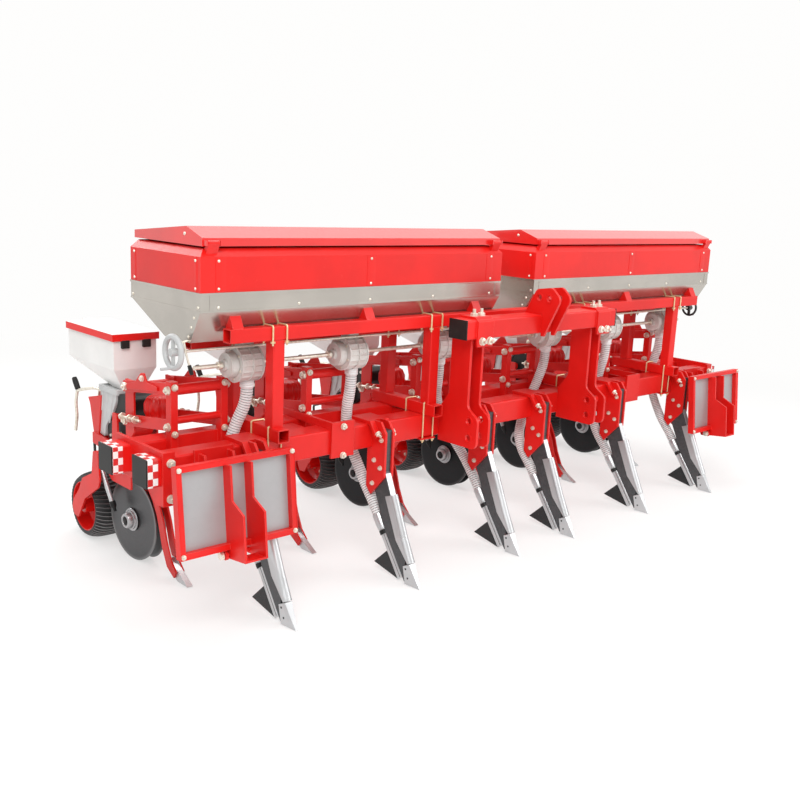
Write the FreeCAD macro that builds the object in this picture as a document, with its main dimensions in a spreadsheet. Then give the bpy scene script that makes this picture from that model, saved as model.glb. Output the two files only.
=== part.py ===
"""Parametric model of a six-row mounted precision planter with fertiliser hoppers.

Millimetres. +X runs along the beams, -Y faces the tractor, +Z is up. The floor that the planter
stands on is Z = 0 and the middle of its length and of its width is the origin.
"""
import math
import os
import re

import FreeCAD
import Part
import Sketcher

DOC = FreeCAD.newDocument("precision_planter")
SHEET = DOC.addObject("Spreadsheet::Sheet", "sizes")
NODES = {}

# ---------------------------------------------------------------- driving dimensions
SIZES = {
    # toolbar frame
    "beam_front": -414.5, "beam_side": 100.0, "beam_wall": 8.0, "beam_round": 8.0,
    "beam_base": 517.0, "beam_pitch": 213.0, "front_overhang": 305.0,
    "rear_overhang": 325.0, "cap_depth": 5.0, "fit_gap": 0.25,
    "end_plate_inset": 50.0, "end_plate_depth": 12.0, "tie_side": 80.0,
    "tie_gap_inner": 17.0, "tie_gap_outer": 42.0, "strap_plate": 12.0, "strap_gap": 2.0,
    "strap_pad": 111.0, "strap_height": 30.0,
    # hopper stand
    "stand_side": 50.0, "stand_wall": 4.0, "stand_gap_outer": 22.0, "stand_gap_inner": 67.0,
    "foot_front": 63.0, "foot_length": 396.0, "post_front": 24.0, "post_rear": 238.0,
    "front_rail_base": 990.0, "rear_rail_drop": 60.0, "rail_overhang": 204.0,
    "saddle_width": 44.0, "saddle_height": 44.0, "saddle_outer": 604.0,
    # hitch
    "hitch_centre": 401.0, "hitch_gap": 58.0, "hitch_plate": 12.0, "hitch_front": 161.0,
    "hitch_ear": 223.0, "hitch_base": 498.0, "pin_setback": 175.0, "pin_upper": 612.0,
    "pin_lower": 541.0, "pin_bore": 14.5, "top_beam_length": 1000.0, "top_beam_front": 193.0,
    "top_beam_depth": 100.0, "top_beam_height": 80.0, "top_beam_base": 957.0,
    "clamp_width": 92.0, "clamp_plate": 10.0, "ear_offset": 35.0, "link_bore": 13.0,
    "hitch_round": 30.0,
    # fertiliser hoppers
    "hopper_length": 1495.0, "hopper_centre": 861.5, "hopper_front": 8.0,
    "hopper_depth": 491.0, "hopper_wall": 4.0, "trough_sink": 50.0, "trough_rise": 114.0,
    "body_rise": 184.0, "rim_rise": 28.0, "rim_inset": 22.0,
    "trough_front_run": 68.0, "trough_floor": 173.0,
    "lid_inset": 12.0, "lid_gap": 6.0, "lid_flange": 28.0, "lid_rise": 34.0,
    "lid_ridge": 103.0, "lid_sheet": 3.0, "lid_pin": 5.0, "lid_barrel": 9.0,
    "lid_barrel_length": 44.0, "pin_clearance": 0.3,
    # fertiliser metering
    "meter_set": 122.0, "meter_drop": 102.0, "meter_radius": 62.0, "meter_length": 95.0,
    "meter_inner": 365.0, "meter_pitch": 500.0, "spigot_offset": 30.0, "bell_radius": 46.0,
    "bell_length": 32.0, "meter_neck": 50.0, "spigot_radius": 24.0, "spigot_drop": 88.0,
    "shaft_radius": 8.0, "shaft_overhang": 165.0, "shaft_inner": 120.0,
    "left_wheel_radius": 55.0, "left_wheel_rim": 10.0, "left_wheel_reach": 1656.0,
    "right_wheel_radius": 42.0, "right_wheel_rim": 6.0, "right_wheel_reach": 1622.0,
    "crank_length": 48.0, "rod_radius": 5.0, "rod_drop": 33.0,
    # fertiliser shanks
    "shank_inner": 193.0, "row_spacing": 600.0, "shank_plate": 30.0, "cheek": 10.0,
    "shank_reach": 298.0, "guard_width": 36.0, "point_tip": 10.0, "tube_radius": 21.0,
    "tube_wall": 3.0, "tube_gap": 0.3, "wing_plate": 12.0,
    "cap_width": 100.0, "strap_width": 24.0, "hose_radius": 23.0,
    # row units
    "bracket_width": 236.0, "upright_width": 28.0, "upright_depth": 36.0,
    "bracket_head": 32.0, "tie_bar_radius": 20.0, "link_plate": 10.0, "link_height": 44.0,
    "pivot_spread": 135.0, "lower_pivot_rise": 48.0, "link_drop": 52.0,
    "unit_setback": 547.0,
    "side_plate": 8.0, "carrier": 24.0, "disc_setback": 642.0, "disc_height": 172.0,
    "disc_radius": 170.0, "disc_plate": 5.0, "disc_spread": 32.0, "disc_angle": 4.0,
    "disc_hub": 30.0, "disc_hub_length": 34.0, "disc_axle": 10.0,
    "press_setback": 983.0, "press_radius": 144.0, "press_width": 180.0,
    "rim_radius": 118.0, "tyre_shoulder": 22.0, "press_axle": 12.0, "fork_plate": 8.0,
    "fork_gap": 24.0,
    "meter_drum": 88.0, "meter_drum_width": 84.0,
    "seed_front": 669.0, "seed_depth": 412.0, "seed_width": 184.0, "seed_top": 926.0,
    "seed_shoulder": 790.0, "seed_base": 704.0, "seed_wall": 4.0, "seed_mouth": 90.0,
    "seed_lid_gap": 6.0, "seed_lid_sheet": 3.0, "seed_lid_flange": 26.0,
    # folding steps
    "step_offset": 162.0, "step_width": 470.0, "step_height": 311.0, "step_base": 317.0,
    "step_front": 193.0, "step_depth": 30.0, "step_member": 20.0, "step_lean": 6.0,
    "step_sheet": 3.0, "rib_plate": 8.0, "rib_spread": 42.0, "rib_depth": 22.0, "rib_foot": 88.0,
    "step_pin": 8.0, "arm_plate": 10.0, "arm_spread": 57.0, "step_axis": 21.0,
}

# sizes that follow from the driving dimensions and may be named in any formula
FOLLOWING = {
    "front_beam_length": "5 * row_spacing + 2 * front_overhang",
    "rear_beam_length": "5 * row_spacing + 2 * rear_overhang",
    "tie_inner": "row_spacing / 2 + bracket_width / 2 + tie_gap_inner + tie_side / 2",
    "tie_outer": "1.5 * row_spacing + bracket_width / 2 + tie_gap_outer + tie_side / 2",
    "strap_outer": "1.5 * row_spacing + bracket_width / 2 + strap_gap + strap_plate",
    "strap_inner": "strap_outer - strap_pad",
    "outer_shank": "shank_inner + 2 * row_spacing",
    "stand_outer": "outer_shank - cap_width / 2 - stand_gap_outer - stand_side / 2",
    "stand_inner": "row_spacing / 2 + bracket_width / 2 + stand_gap_inner + stand_side / 2",
    "rail_length": "2 * (stand_outer + rail_overhang)",
    "rear_rail_base": "front_rail_base - rear_rail_drop",
    "trough_base": "front_rail_base + stand_side - trough_sink",
    "trough_top": "trough_base + trough_rise",
    "hopper_shoulder": "trough_top + body_rise",
    "hopper_rim": "hopper_shoulder + rim_rise",
    "meter_height": "trough_base - meter_drop",
    "spigot_end": "meter_height - spigot_drop",
    "rod_height": "trough_base - rod_drop",
    "lower_pivot": "beam_base + beam_side + lower_pivot_rise",
    "upper_pivot": "lower_pivot + pivot_spread",
    "bracket_top": "upper_pivot + bracket_head",
    "step_centre": "outer_shank + step_offset",
}

# places worked out from the driving dimensions
BEAM_TOP = "(beam_base + beam_side)"
BEAM_REAR = "(beam_front + beam_side)"
SECOND_FRONT = "(beam_front + beam_pitch)"
SECOND_REAR = "(beam_front + beam_pitch + beam_side)"
RAIL_TOP = "(front_rail_base + stand_side)"
FOOT_TOP = "(beam_base + beam_side + stand_side)"
HOPPER_FRONT = "(beam_front - hopper_front)"
HOPPER_REAR = "(beam_front - hopper_front + hopper_depth)"
FLOOR_FRONT = "(beam_front - hopper_front + trough_front_run)"
FLOOR_REAR = "(beam_front - hopper_front + trough_front_run + trough_floor)"
TOP_FRONT = "(beam_front - top_beam_front)"
TOP_REAR = "(beam_front - top_beam_front + top_beam_depth)"
TOP_HEAD = "(top_beam_base + top_beam_height)"
LID_BASE = "(hopper_rim + lid_gap)"
LID_FRONT = "(beam_front - hopper_front + lid_inset - 2)"
LID_REAR = "(beam_front - hopper_front + hopper_depth - lid_inset + 2)"
LID_AXIS_Y = "(beam_front - hopper_front - 2)"
LID_AXIS_Z = "(hopper_rim + lid_gap + 12)"
METER_Y = "(beam_front + meter_set)"
UNIT_Y = "(beam_front + unit_setback)"
DISC_Y = "(beam_front + disc_setback)"
PRESS_Y = "(beam_front + press_setback)"
SEED_FRONT = "(beam_front + seed_front)"
SEED_REAR = "(beam_front + seed_front + seed_depth)"
SEED_AXIS_Y = "(beam_front + seed_front + seed_depth + 14)"
SEED_AXIS_Z = "(seed_top + seed_lid_gap)"
STEP_FRONT = "(beam_front - step_front)"
STEP_AXIS_Y = "(beam_front - step_front + step_depth / 2 + 2)"
STEP_AXIS_Z = "(step_base - step_axis)"

SHANKS = ["-(shank_inner + 2 * row_spacing)", "-(shank_inner + row_spacing)", "-shank_inner",
          "shank_inner", "shank_inner + row_spacing", "shank_inner + 2 * row_spacing"]
ROWS = [f"{half / 2} * row_spacing" for half in (-5, -3, -1, 1, 3, 5)]
METERS = [f"{side} * (meter_inner + {step} * meter_pitch)" for side in (-1, 1)
          for step in ((2, 1, 0) if side < 0 else (0, 1, 2))]
SIDES = {"left": "-1", "right": "1"}

# the fertiliser tube's upper and lower ends: offset behind the front beam's face and height
TUBE_TOP = (-33.0, 234.0)
TUBE_FOOT = (-188.714, 16.0)

# hoses: offset and height of the free points, then how far across from its meter to its shank
# each hose has come at that height, and its own sway to the rear
HOSE_HEIGHTS = [(122, 743), (142, 657), (145, 567), (131, 482), (97, 406), (53, 341)]
HOSE_SWAY = [
    [(0.00, 0), (0.62, 0), (1.05, 1), (0.93, -2), (1.04, 1), (0.98, 0)],
    [(0.00, 0), (-0.08, -2), (0.12, 2), (0.55, 1), (0.92, -1), (1.03, 1)],
    [(0.00, 0), (0.06, 1), (0.30, 0), (0.66, 2), (0.92, 1), (1.02, -1)],
    [(0.00, 0), (0.08, -1), (0.30, 2), (0.63, -1), (0.92, 2), (1.01, 0)],
    [(0.00, 0), (0.05, 0), (0.26, 1), (0.64, 1), (0.95, -2), (1.02, 1)],
    [(0.00, 0), (6.00, 1), (9.00, 0), (4.00, -2), (-1.00, 0), (2.00, 0)],
]


# ---------------------------------------------------------------- helpers
def fill_sheet():
    """Write each driving dimension into a cell of its own, with its name as the alias."""
    for line, (alias, value) in enumerate(SIZES.items(), start=1):
        SHEET.set(f"A{line}", alias)
        SHEET.set(f"B{line}", str(value))
        SHEET.setAlias(f"B{line}", alias)
    DOC.recompute()


def spelled(text):
    """Write a formula in driving dimensions alone."""
    names = set(re.findall(r"[a-z]\w*", text)) & set(FOLLOWING)
    for name in names:
        text = re.sub(rf"\b{name}\b", f"({spelled(FOLLOWING[name])})", text)
    return text


def scoped(text):
    """Turn a formula of plain size names into one that reads them from the sheet."""
    return re.sub(r"\b([a-z]\w*)\b(?!\()", r"sizes.\1", spelled(text))


def value(text):
    """Return the number that a formula of size names gives."""
    return float(SHEET.evalExpression(spelled(text)))


def bind(thing, **formulas):
    """Bind properties of a document object to formulas of size names."""
    for path, text in formulas.items():
        thing.setExpression(path, scoped(text))


def place(thing, at, turn=None):
    """Bind an object's position, with an optional turn given as (axis, degrees)."""
    for letter, text in zip("xyz", at):
        thing.setExpression(f"Placement.Base.{letter}", scoped(text))
    if turn:
        axis, degrees = turn
        thing.setExpression("Placement.Rotation.Angle", scoped(degrees))
        thing.Placement.Rotation = FreeCAD.Rotation(FreeCAD.Vector(*axis), 1)
    return thing


def box(name, low, size):
    """A block from its lowest corner and its length, width and height."""
    block = DOC.addObject("Part::Box", name)
    bind(block, Length=size[0], Width=size[1], Height=size[2])
    return place(block, low)


def rod(name, start, radius, length, axis="x"):
    """A round bar from the centre of its first face, along an axis of the model."""
    bar = DOC.addObject("Part::Cylinder", name)
    bind(bar, Radius=radius, Height=length)
    turns = {"x": ((0, 1, 0), 90), "y": ((1, 0, 0), -90), "z": ((0, 0, 1), 0)}
    direction, degrees = turns[axis]
    bar.Placement.Rotation = FreeCAD.Rotation(FreeCAD.Vector(*direction), degrees)
    return place(bar, start)


def plate(name, outline, thickness, centre="0", holes=(), rounding=None, chosen=None):
    """A flat plate across X, drawn by its outline in Y and Z, with round holes.

    A corner radius, where one is given, rounds the chosen corners of the outline, or all.
    """
    body = DOC.addObject("PartDesign::Body", name)
    sketch = body.newObject("Sketcher::SketchObject", f"{name}_outline")
    plane = next(item for item in body.Origin.OriginFeatures if item.Role == "YZ_Plane")
    sketch.AttachmentSupport = [(plane, "")]
    sketch.MapMode = "FlatFace"
    corners = [FreeCAD.Vector(value(y), value(z), 0) for y, z in outline]
    for first, second in zip(corners, corners[1:] + corners[:1]):
        sketch.addGeometry(Part.LineSegment(first, second), False)
    for index in range(len(corners)):
        following = (index + 1) % len(corners)
        sketch.addConstraint(Sketcher.Constraint("Coincident", index, 2, following, 1))
    for index, (corner, formulas) in enumerate(zip(corners, outline)):
        fix_point(sketch, (index, 1), corner, formulas)
    for number, (y, z, radius) in enumerate(holes, start=len(corners)):
        middle = FreeCAD.Vector(value(y), value(z), 0)
        circle = Part.Circle(middle, FreeCAD.Vector(0, 0, 1), value(radius))
        sketch.addGeometry(circle, False)
        fix_point(sketch, (number, 3), middle, (y, z))
        index = sketch.addConstraint(Sketcher.Constraint("Radius", number, value(radius)))
        sketch.setExpression(f"Constraints[{index}]", scoped(radius))
    pad = body.newObject("PartDesign::Pad", f"{name}_pad")
    pad.Profile = sketch
    pad.Midplane = True
    bind(pad, Length=thickness)
    if rounding:
        DOC.recompute()
        numbers = range(len(corners)) if chosen is None else chosen
        round_corners(body, pad, rounding, [corners[number] for number in numbers])
    body.setExpression("Placement.Base.x", scoped(centre))
    return body


def fix_point(sketch, point, spot, formulas):
    """Hold a sketch point at two formulas, measured from the sketch's origin."""
    for kind, number, text in zip(("DistanceX", "DistanceY"), (spot.x, spot.y), formulas):
        index = sketch.addConstraint(Sketcher.Constraint(kind, -1, 1, *point, number))
        sketch.setExpression(f"Constraints[{index}]", scoped(text))


def round_corners(body, pad, radius, corners):
    """Round the straight edges across a padded plate that start at corners of its outline."""
    names = []
    for number, edge in enumerate(pad.Shape.Edges, start=1):
        straight = isinstance(edge.Curve, Part.Line)
        if not straight or abs(edge.tangentAt(edge.FirstParameter).x) < 0.99:
            continue
        start = edge.Vertexes[0].Point
        if any(math.hypot(start.y - corner.x, start.z - corner.y) < 0.01 for corner in corners):
            names.append(f"Edge{number}")
    fillet = body.newObject("PartDesign::Fillet", f"{pad.Name}_corners")
    fillet.Base = (pad, names)
    bind(fillet, Radius=radius)


def square_tube(name, low, size, wall, radius):
    """A square tube along its longest side, with rounded outer edges and open ends."""
    spans = [value(text) for text in size]
    along = spans.index(max(spans))
    outer = box(f"{name}_outer", low, size)
    DOC.recompute()
    rounded = DOC.addObject("Part::Fillet", f"{name}_round")
    rounded.Base = outer
    edges = []
    for number, edge in enumerate(outer.Shape.Edges, start=1):
        direction = edge.tangentAt(edge.FirstParameter)
        if abs(direction[along]) > 0.99:
            edges.append((number, value(radius), value(radius)))
    rounded.Edges = edges
    margins = [f"{wall}"] * 3
    margins[along] = "-1"
    hollow = box(f"{name}_hollow", [f"{a} + ({m})" for a, m in zip(low, margins)],
                 [f"{a} - 2 * ({m})" for a, m in zip(size, margins)])
    return cut(name, rounded, hollow)


def fuse(name, *things):
    """Join solids into one."""
    joined = DOC.addObject("Part::MultiFuse", name)
    joined.Shapes = list(things)
    joined.Refine = True
    return joined


def cut(name, base, tool):
    """Take one solid away from another."""
    result = DOC.addObject("Part::Cut", name)
    result.Base = base
    result.Tool = tool
    return result


def common(name, first, second):
    """The part of one solid that lies inside another."""
    result = DOC.addObject("Part::Common", name)
    result.Base = first
    result.Tool = second
    return result


def group(name, *things):
    """Hold separate solids together as one object."""
    held = DOC.addObject("Part::Compound", name)
    held.Links = list(things)
    return held


def copy_at(name, source, at, turn=None):
    """A copy of a finished object at another place."""
    link = DOC.addObject("App::Link", name)
    link.LinkedObject = source
    return place(link, at, turn)


def mirrored(name, source):
    """A copy of an object on the other side of the machine's centre plane."""
    copy = DOC.addObject("Part::Mirroring", name)
    copy.Source = source
    copy.Base = FreeCAD.Vector(0, 0, 0)
    copy.Normal = FreeCAD.Vector(1, 0, 0)
    return copy


def repeat(name, unit, places):
    """Copies of a unit along X, held together as one object."""
    return group(name, *[copy_at(f"{name}_{number}", unit, (spot, "0", "0"))
                         for number, spot in enumerate(places, start=1)])


def node(label, thing):
    """Name an object's file."""
    thing.Label = label
    NODES[label] = thing


# ---------------------------------------------------------------- toolbar frame
def build_beams():
    """The two square beams, their plastic end caps and the cross tubes between them."""
    beams = {"front_beam": ("beam_front", "front_beam_length"),
             "rear_beam": (SECOND_FRONT, "rear_beam_length")}
    caps = []
    for label, (front, length) in beams.items():
        low = (f"-{length} / 2", front, "beam_base")
        size = (length, "beam_side", "beam_side")
        node(label, square_tube(f"{label}_tube", low, size, "beam_wall", "beam_round"))
        for side, sign in SIDES.items():
            start = f"{length} / 2" if side == "right" else f"-{length} / 2 - cap_depth"
            caps.append(box(f"{label}_cap_{side}", (start, front, "beam_base"),
                            ("cap_depth", "beam_side", "beam_side")))
    for side in SIDES:
        start = "top_beam_length / 2" if side == "right" else "-top_beam_length / 2 - cap_depth"
        caps.append(box(f"top_cap_{side}", (start, TOP_FRONT, "top_beam_base"),
                        ("cap_depth", "top_beam_depth", "top_beam_height")))
    node("beam_end_caps", group("caps", *caps))


def build_ties():
    """The cross tubes between the two beams."""
    ties = []
    for number, spot in enumerate(("-tie_outer", "-tie_inner", "tie_inner", "tie_outer"), 1):
        ties.append(box(f"tie_{number}", (f"{spot} - tie_side / 2", BEAM_REAR,
                                          "beam_base + (beam_side - tie_side) / 2"),
                        ("tie_side", "beam_pitch - beam_side", "tie_side")))
    for number, sign in enumerate(SIDES.values(), 1):
        plate_low = "strap_inner" if sign == "1" else "-strap_outer"
        bar_low = "strap_outer - strap_plate" if sign == "1" else "-strap_outer"
        pad = box(f"strap_pad_{number}", (plate_low, "beam_front - strap_plate",
                                          "beam_base - 12"),
                  ("strap_outer - strap_inner", "strap_plate",
                   "beam_side + 12 + strap_height"))
        bar = box(f"strap_bar_{number}", (bar_low, "beam_front - strap_plate", BEAM_TOP),
                  ("strap_plate", "beam_pitch + beam_side + strap_plate", "strap_height"))
        ties.append(fuse(f"strap_{number}", pad, bar))
    return ties


def build_end_plates():
    """A fore-and-aft plate near each end, which both beams pass through, with a bolted flange."""
    inner = "front_beam_length / 2 - end_plate_inset - end_plate_depth"
    web = plate("end_web", [("beam_front - end_plate_depth", "beam_base - 70"),
                            ("beam_front - end_plate_depth", f"{BEAM_TOP} + 20"),
                            (f"{SECOND_REAR} + 14", f"{BEAM_TOP} + 20"),
                            (f"{SECOND_REAR} + 14", "beam_base - 20"),
                            (f"{BEAM_REAR} + 10", "beam_base - 20"),
                            (f"{BEAM_REAR} - 60", "beam_base - 70")],
                "end_plate_depth", f"{inner} + end_plate_depth / 2")
    flange = box("end_flange", (f"{inner} - 34", "beam_front - end_plate_depth",
                                "beam_base - 70"),
                 ("34", "end_plate_depth", "beam_side + 90"))
    solid = fuse("end_solid", web, flange)
    for number, front in enumerate(("beam_front", SECOND_FRONT), 1):
        window = box(f"end_window_{number}",
                     (f"{inner} - 1", f"{front} - fit_gap", "beam_base - fit_gap"),
                     ("end_plate_depth + 2", "beam_side + 2 * fit_gap",
                      "beam_side + 2 * fit_gap"))
        solid = cut(f"end_plate_{number}", solid, window)
    node("frame_end_plates", group("end_plates", solid, mirrored("end_plate_left", solid)))


def build_stand():
    """Foot rails across the beams, posts and the rails that carry the fertiliser hoppers."""
    feet, posts = build_ties(), []
    spots = ("-stand_outer", "-stand_inner", "stand_inner", "stand_outer")
    for number, spot in enumerate(spots, 1):
        left = f"{spot} - stand_side / 2"
        feet.append(square_tube(f"foot_{number}", (left, "beam_front - foot_front", BEAM_TOP),
                                ("stand_side", "foot_length", "stand_side"), "stand_wall",
                                "stand_wall"))
        for name, front, head in (("front", "beam_front - post_front", "front_rail_base"),
                                  ("rear", "beam_front + post_rear", "rear_rail_base")):
            posts.append(square_tube(f"post_{name}_{number}", (left, front, FOOT_TOP),
                                     ("stand_side", "stand_side", f"{head} - {FOOT_TOP}"),
                                     "stand_wall", "stand_wall"))
    node("frame_cross_members", group("cross_members", *feet))
    node("hopper_posts", group("posts", *posts))
    rails = []
    for name, front, base in (("front", "beam_front - post_front", "front_rail_base"),
                              ("rear", "beam_front + post_rear", "rear_rail_base")):
        rails.append(square_tube(f"rail_{name}", ("-rail_length / 2", front, base),
                                 ("rail_length", "stand_side", "stand_side"), "stand_wall",
                                 "stand_wall"))
    node("hopper_rails", group("rails", *rails, build_saddles()))


def build_saddles():
    """Wedge saddles between the rails and the sloping walls of the two troughs."""
    front_slope = "(trough_front_run / (trough_top - trough_base))"
    rear_run = "(hopper_depth - trough_front_run - trough_floor)"
    rear_slope = f"((trough_top - trough_base) / {rear_run})"
    face = f"{HOPPER_FRONT} + {front_slope} * (trough_top - {RAIL_TOP})"
    crest = f"{HOPPER_FRONT} + {front_slope} * (trough_top - {RAIL_TOP} - saddle_height)"
    front = plate("front_saddle", [("beam_front - post_front + 4", RAIL_TOP),
                                   (face, RAIL_TOP), (crest, f"{RAIL_TOP} + saddle_height")],
                  "saddle_width")
    rear_top = "(rear_rail_base + stand_side)"
    near = "(beam_front + post_rear)"
    far = "(beam_front + post_rear + stand_side)"
    rear = plate("rear_saddle", [
        (near, rear_top), (far, rear_top),
        (far, f"trough_base + {rear_slope} * ({far} - {FLOOR_REAR})"),
        (near, f"trough_base + {rear_slope} * ({near} - {FLOOR_REAR})")], "saddle_width")
    pair = group("saddle_pair", front, rear)
    spots = [f"{sign} * hopper_centre + ({share}) * saddle_outer"
             for sign in SIDES.values() for share in ("-1", "0", "1")]
    return repeat("saddles", pair, spots)


# ---------------------------------------------------------------- hitch
def build_hitch():
    """Two pairs of upright plates, the top beam, its clamps and the top-link ears."""
    front, ear = "beam_front - hitch_front", "beam_front - hitch_ear"
    pin = "beam_front - pin_setback"
    outline = [("beam_front", "hitch_base"), (ear, "hitch_base"),
               (ear, "pin_upper + 14"), (front, "pin_upper + 56"),
               (front, "top_beam_base"), (f"{front} + 108", "top_beam_base"),
               (f"{front} + 108", "pin_upper + 100"), ("beam_front", "pin_upper + 30")]
    single = plate("hitch_plate_unit", outline, "hitch_plate",
                   holes=[(pin, "pin_upper", "pin_bore"), (pin, "pin_lower", "pin_bore")],
                   rounding="hitch_round", chosen=(1, 2, 3, 6))
    offset = "(hitch_gap + hitch_plate) / 2"
    spots = [f"{sign} * hitch_centre + ({side}) * {offset}"
             for sign in SIDES.values() for side in ("-1", "1")]
    node("hitch_uprights", repeat("hitch_plates", single, spots))

    beam = square_tube("top_beam", ("-top_beam_length / 2", TOP_FRONT, "top_beam_base"),
                       ("top_beam_length", "top_beam_depth", "top_beam_height"),
                       "beam_wall", "beam_round")

    wrap = plate("clamp_unit", [
        (f"{TOP_FRONT} - clamp_plate", "top_beam_base - 30"),
        (TOP_FRONT, "top_beam_base - 30"), (TOP_FRONT, TOP_HEAD),
        (f"{TOP_REAR} - 6", TOP_HEAD), (f"{TOP_REAR} - 6", f"{TOP_HEAD} + clamp_plate"),
        (f"{TOP_FRONT} + 12", f"{TOP_HEAD} + clamp_plate"),
        (f"{TOP_FRONT} - clamp_plate", f"{TOP_HEAD} - 8")], "clamp_width")
    clamps = repeat("clamps", wrap, [f"{side} * hitch_centre" for side in SIDES.values()])
    node("hitch_top_beam", group("top_beam_set", beam, clamps))

    mouth = f"{TOP_FRONT} - 33"
    link = plate("ear_unit", [
        (TOP_FRONT, TOP_HEAD), (f"{TOP_REAR} - 4", TOP_HEAD),
        (f"{TOP_FRONT} + 38", f"{TOP_HEAD} + 108"), (f"{TOP_FRONT} - 45", f"{TOP_HEAD} + 121"),
        (f"{TOP_FRONT} - 96", f"{TOP_HEAD} + 74"), (f"{TOP_FRONT} - 16", "top_beam_base - 12"),
        (TOP_FRONT, "top_beam_base - 12")], "hitch_plate",
        holes=[(mouth, f"{TOP_HEAD} + 72", "link_bore"),
               (f"{mouth} + 53", f"{TOP_HEAD} + 74", "link_bore")],
        rounding="hitch_round", chosen=(2, 3, 4))
    node("top_link_ears", repeat("ears", link, ["-ear_offset", "ear_offset"]))


# ---------------------------------------------------------------- fertiliser hoppers
def build_hoppers():
    """A hollow hopper each side: a trough, an upright body and a rim that slants inwards."""
    rear_run = "(hopper_depth - trough_front_run - trough_floor)"
    outer = plate("hopper_shell", [
        (FLOOR_FRONT, "trough_base"), (FLOOR_REAR, "trough_base"),
        (HOPPER_REAR, "trough_top"), (HOPPER_REAR, "hopper_shoulder"),
        (HOPPER_FRONT, "hopper_shoulder"), (HOPPER_FRONT, "trough_top")], "hopper_length")
    front_shift = "hopper_wall * 1.2"
    rear_shift = f"hopper_wall * sqrt({rear_run} ^ 2 + (trough_top - trough_base) ^ 2)" \
                 " / (trough_top - trough_base)"
    inner = plate("hopper_room", [
        (f"{FLOOR_FRONT} + {front_shift}", "trough_base + hopper_wall"),
        (f"{FLOOR_REAR} - hopper_wall", "trough_base + hopper_wall"),
        (f"{HOPPER_REAR} - hopper_wall",
         f"trough_top + hopper_wall + ({rear_shift}) * 0"),
        (f"{HOPPER_REAR} - hopper_wall", "hopper_shoulder + 1"),
        (f"{HOPPER_FRONT} + hopper_wall", "hopper_shoulder + 1"),
        (f"{HOPPER_FRONT} + hopper_wall", "trough_top + hopper_wall")],
        "hopper_length - 2 * hopper_wall")
    slant_outer = rim("hopper_rim_outer", "0", "hopper_shoulder", "hopper_rim")
    slant_inner = rim("hopper_rim_inner", "hopper_wall", "hopper_shoulder - 0.5",
                      "hopper_rim + 1")
    shell = fuse("hopper_outside", outer, slant_outer)
    room = fuse("hopper_inside", inner, slant_inner)
    hopper = fuse("hopper_with_hinges", cut("hopper_hollow", shell, room), *lid_barrels())
    lid = build_lid()
    for side, sign in SIDES.items():
        spot = (f"{sign} * hopper_centre", "0", "0")
        node(f"fertiliser_hopper_{side}",
             group(f"hopper_{side}", copy_at(f"hopper_at_{side}", hopper, spot)))
        node(f"hopper_lid_{side}", group(f"lid_{side}", copy_at(f"lid_at_{side}", lid, spot)))


def rim(name, margin, base, head):
    """The slanting rim as a block that narrows by rim_inset on all sides."""
    wedge = DOC.addObject("Part::Wedge", name)
    half = f"(hopper_length / 2 - {margin})"
    bind(wedge, Xmin=f"-{half}", Xmax=half, X2min=f"-{half} + rim_inset",
         X2max=f"{half} - rim_inset", Ymin="0", Ymax=f"{head} - ({base})",
         Zmin=f"{margin}", Zmax=f"hopper_depth - {margin}", Z2min=f"{margin} + rim_inset",
         Z2max=f"hopper_depth - {margin} - rim_inset")
    wedge.Placement.Rotation = FreeCAD.Rotation(FreeCAD.Vector(1, 0, 0), 90)
    place(wedge, ("0", f"{HOPPER_REAR}", base))
    return wedge


def barrel_spots():
    """The two places of a lid's hinge barrels along its hopper."""
    offset = "hopper_length / 2 - lid_inset - 12 - lid_barrel_length"
    return [f"-({offset}) - lid_barrel_length", offset]


def lid_barrels():
    """The fixed halves of a lid's hinges: a barrel on a bracket that bears on the rim."""
    barrels = []
    for number, spot in enumerate(barrel_spots(), 1):
        tube = rod(f"barrel_{number}", (spot, LID_AXIS_Y, LID_AXIS_Z), "lid_barrel",
                   "lid_barrel_length")
        seat = plate(f"barrel_seat_{number}", [
            (f"{HOPPER_FRONT} + 8", "hopper_shoulder + 6"),
            (f"{LID_AXIS_Y} - 8", f"{LID_AXIS_Z} - 4"), (f"{LID_AXIS_Y} + 2", f"{LID_AXIS_Z} - 4"),
            (f"{HOPPER_FRONT} + 21", "hopper_rim - 4")],
            "lid_barrel_length", f"{spot} + lid_barrel_length / 2")
        bore = rod(f"barrel_bore_{number}", (f"{spot} - 1", LID_AXIS_Y, LID_AXIS_Z),
                   "lid_pin + pin_clearance", "lid_barrel_length + 2")
        barrels.append(cut(f"hinge_{number}", fuse(f"hinge_solid_{number}", tube, seat), bore))
    return barrels


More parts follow.
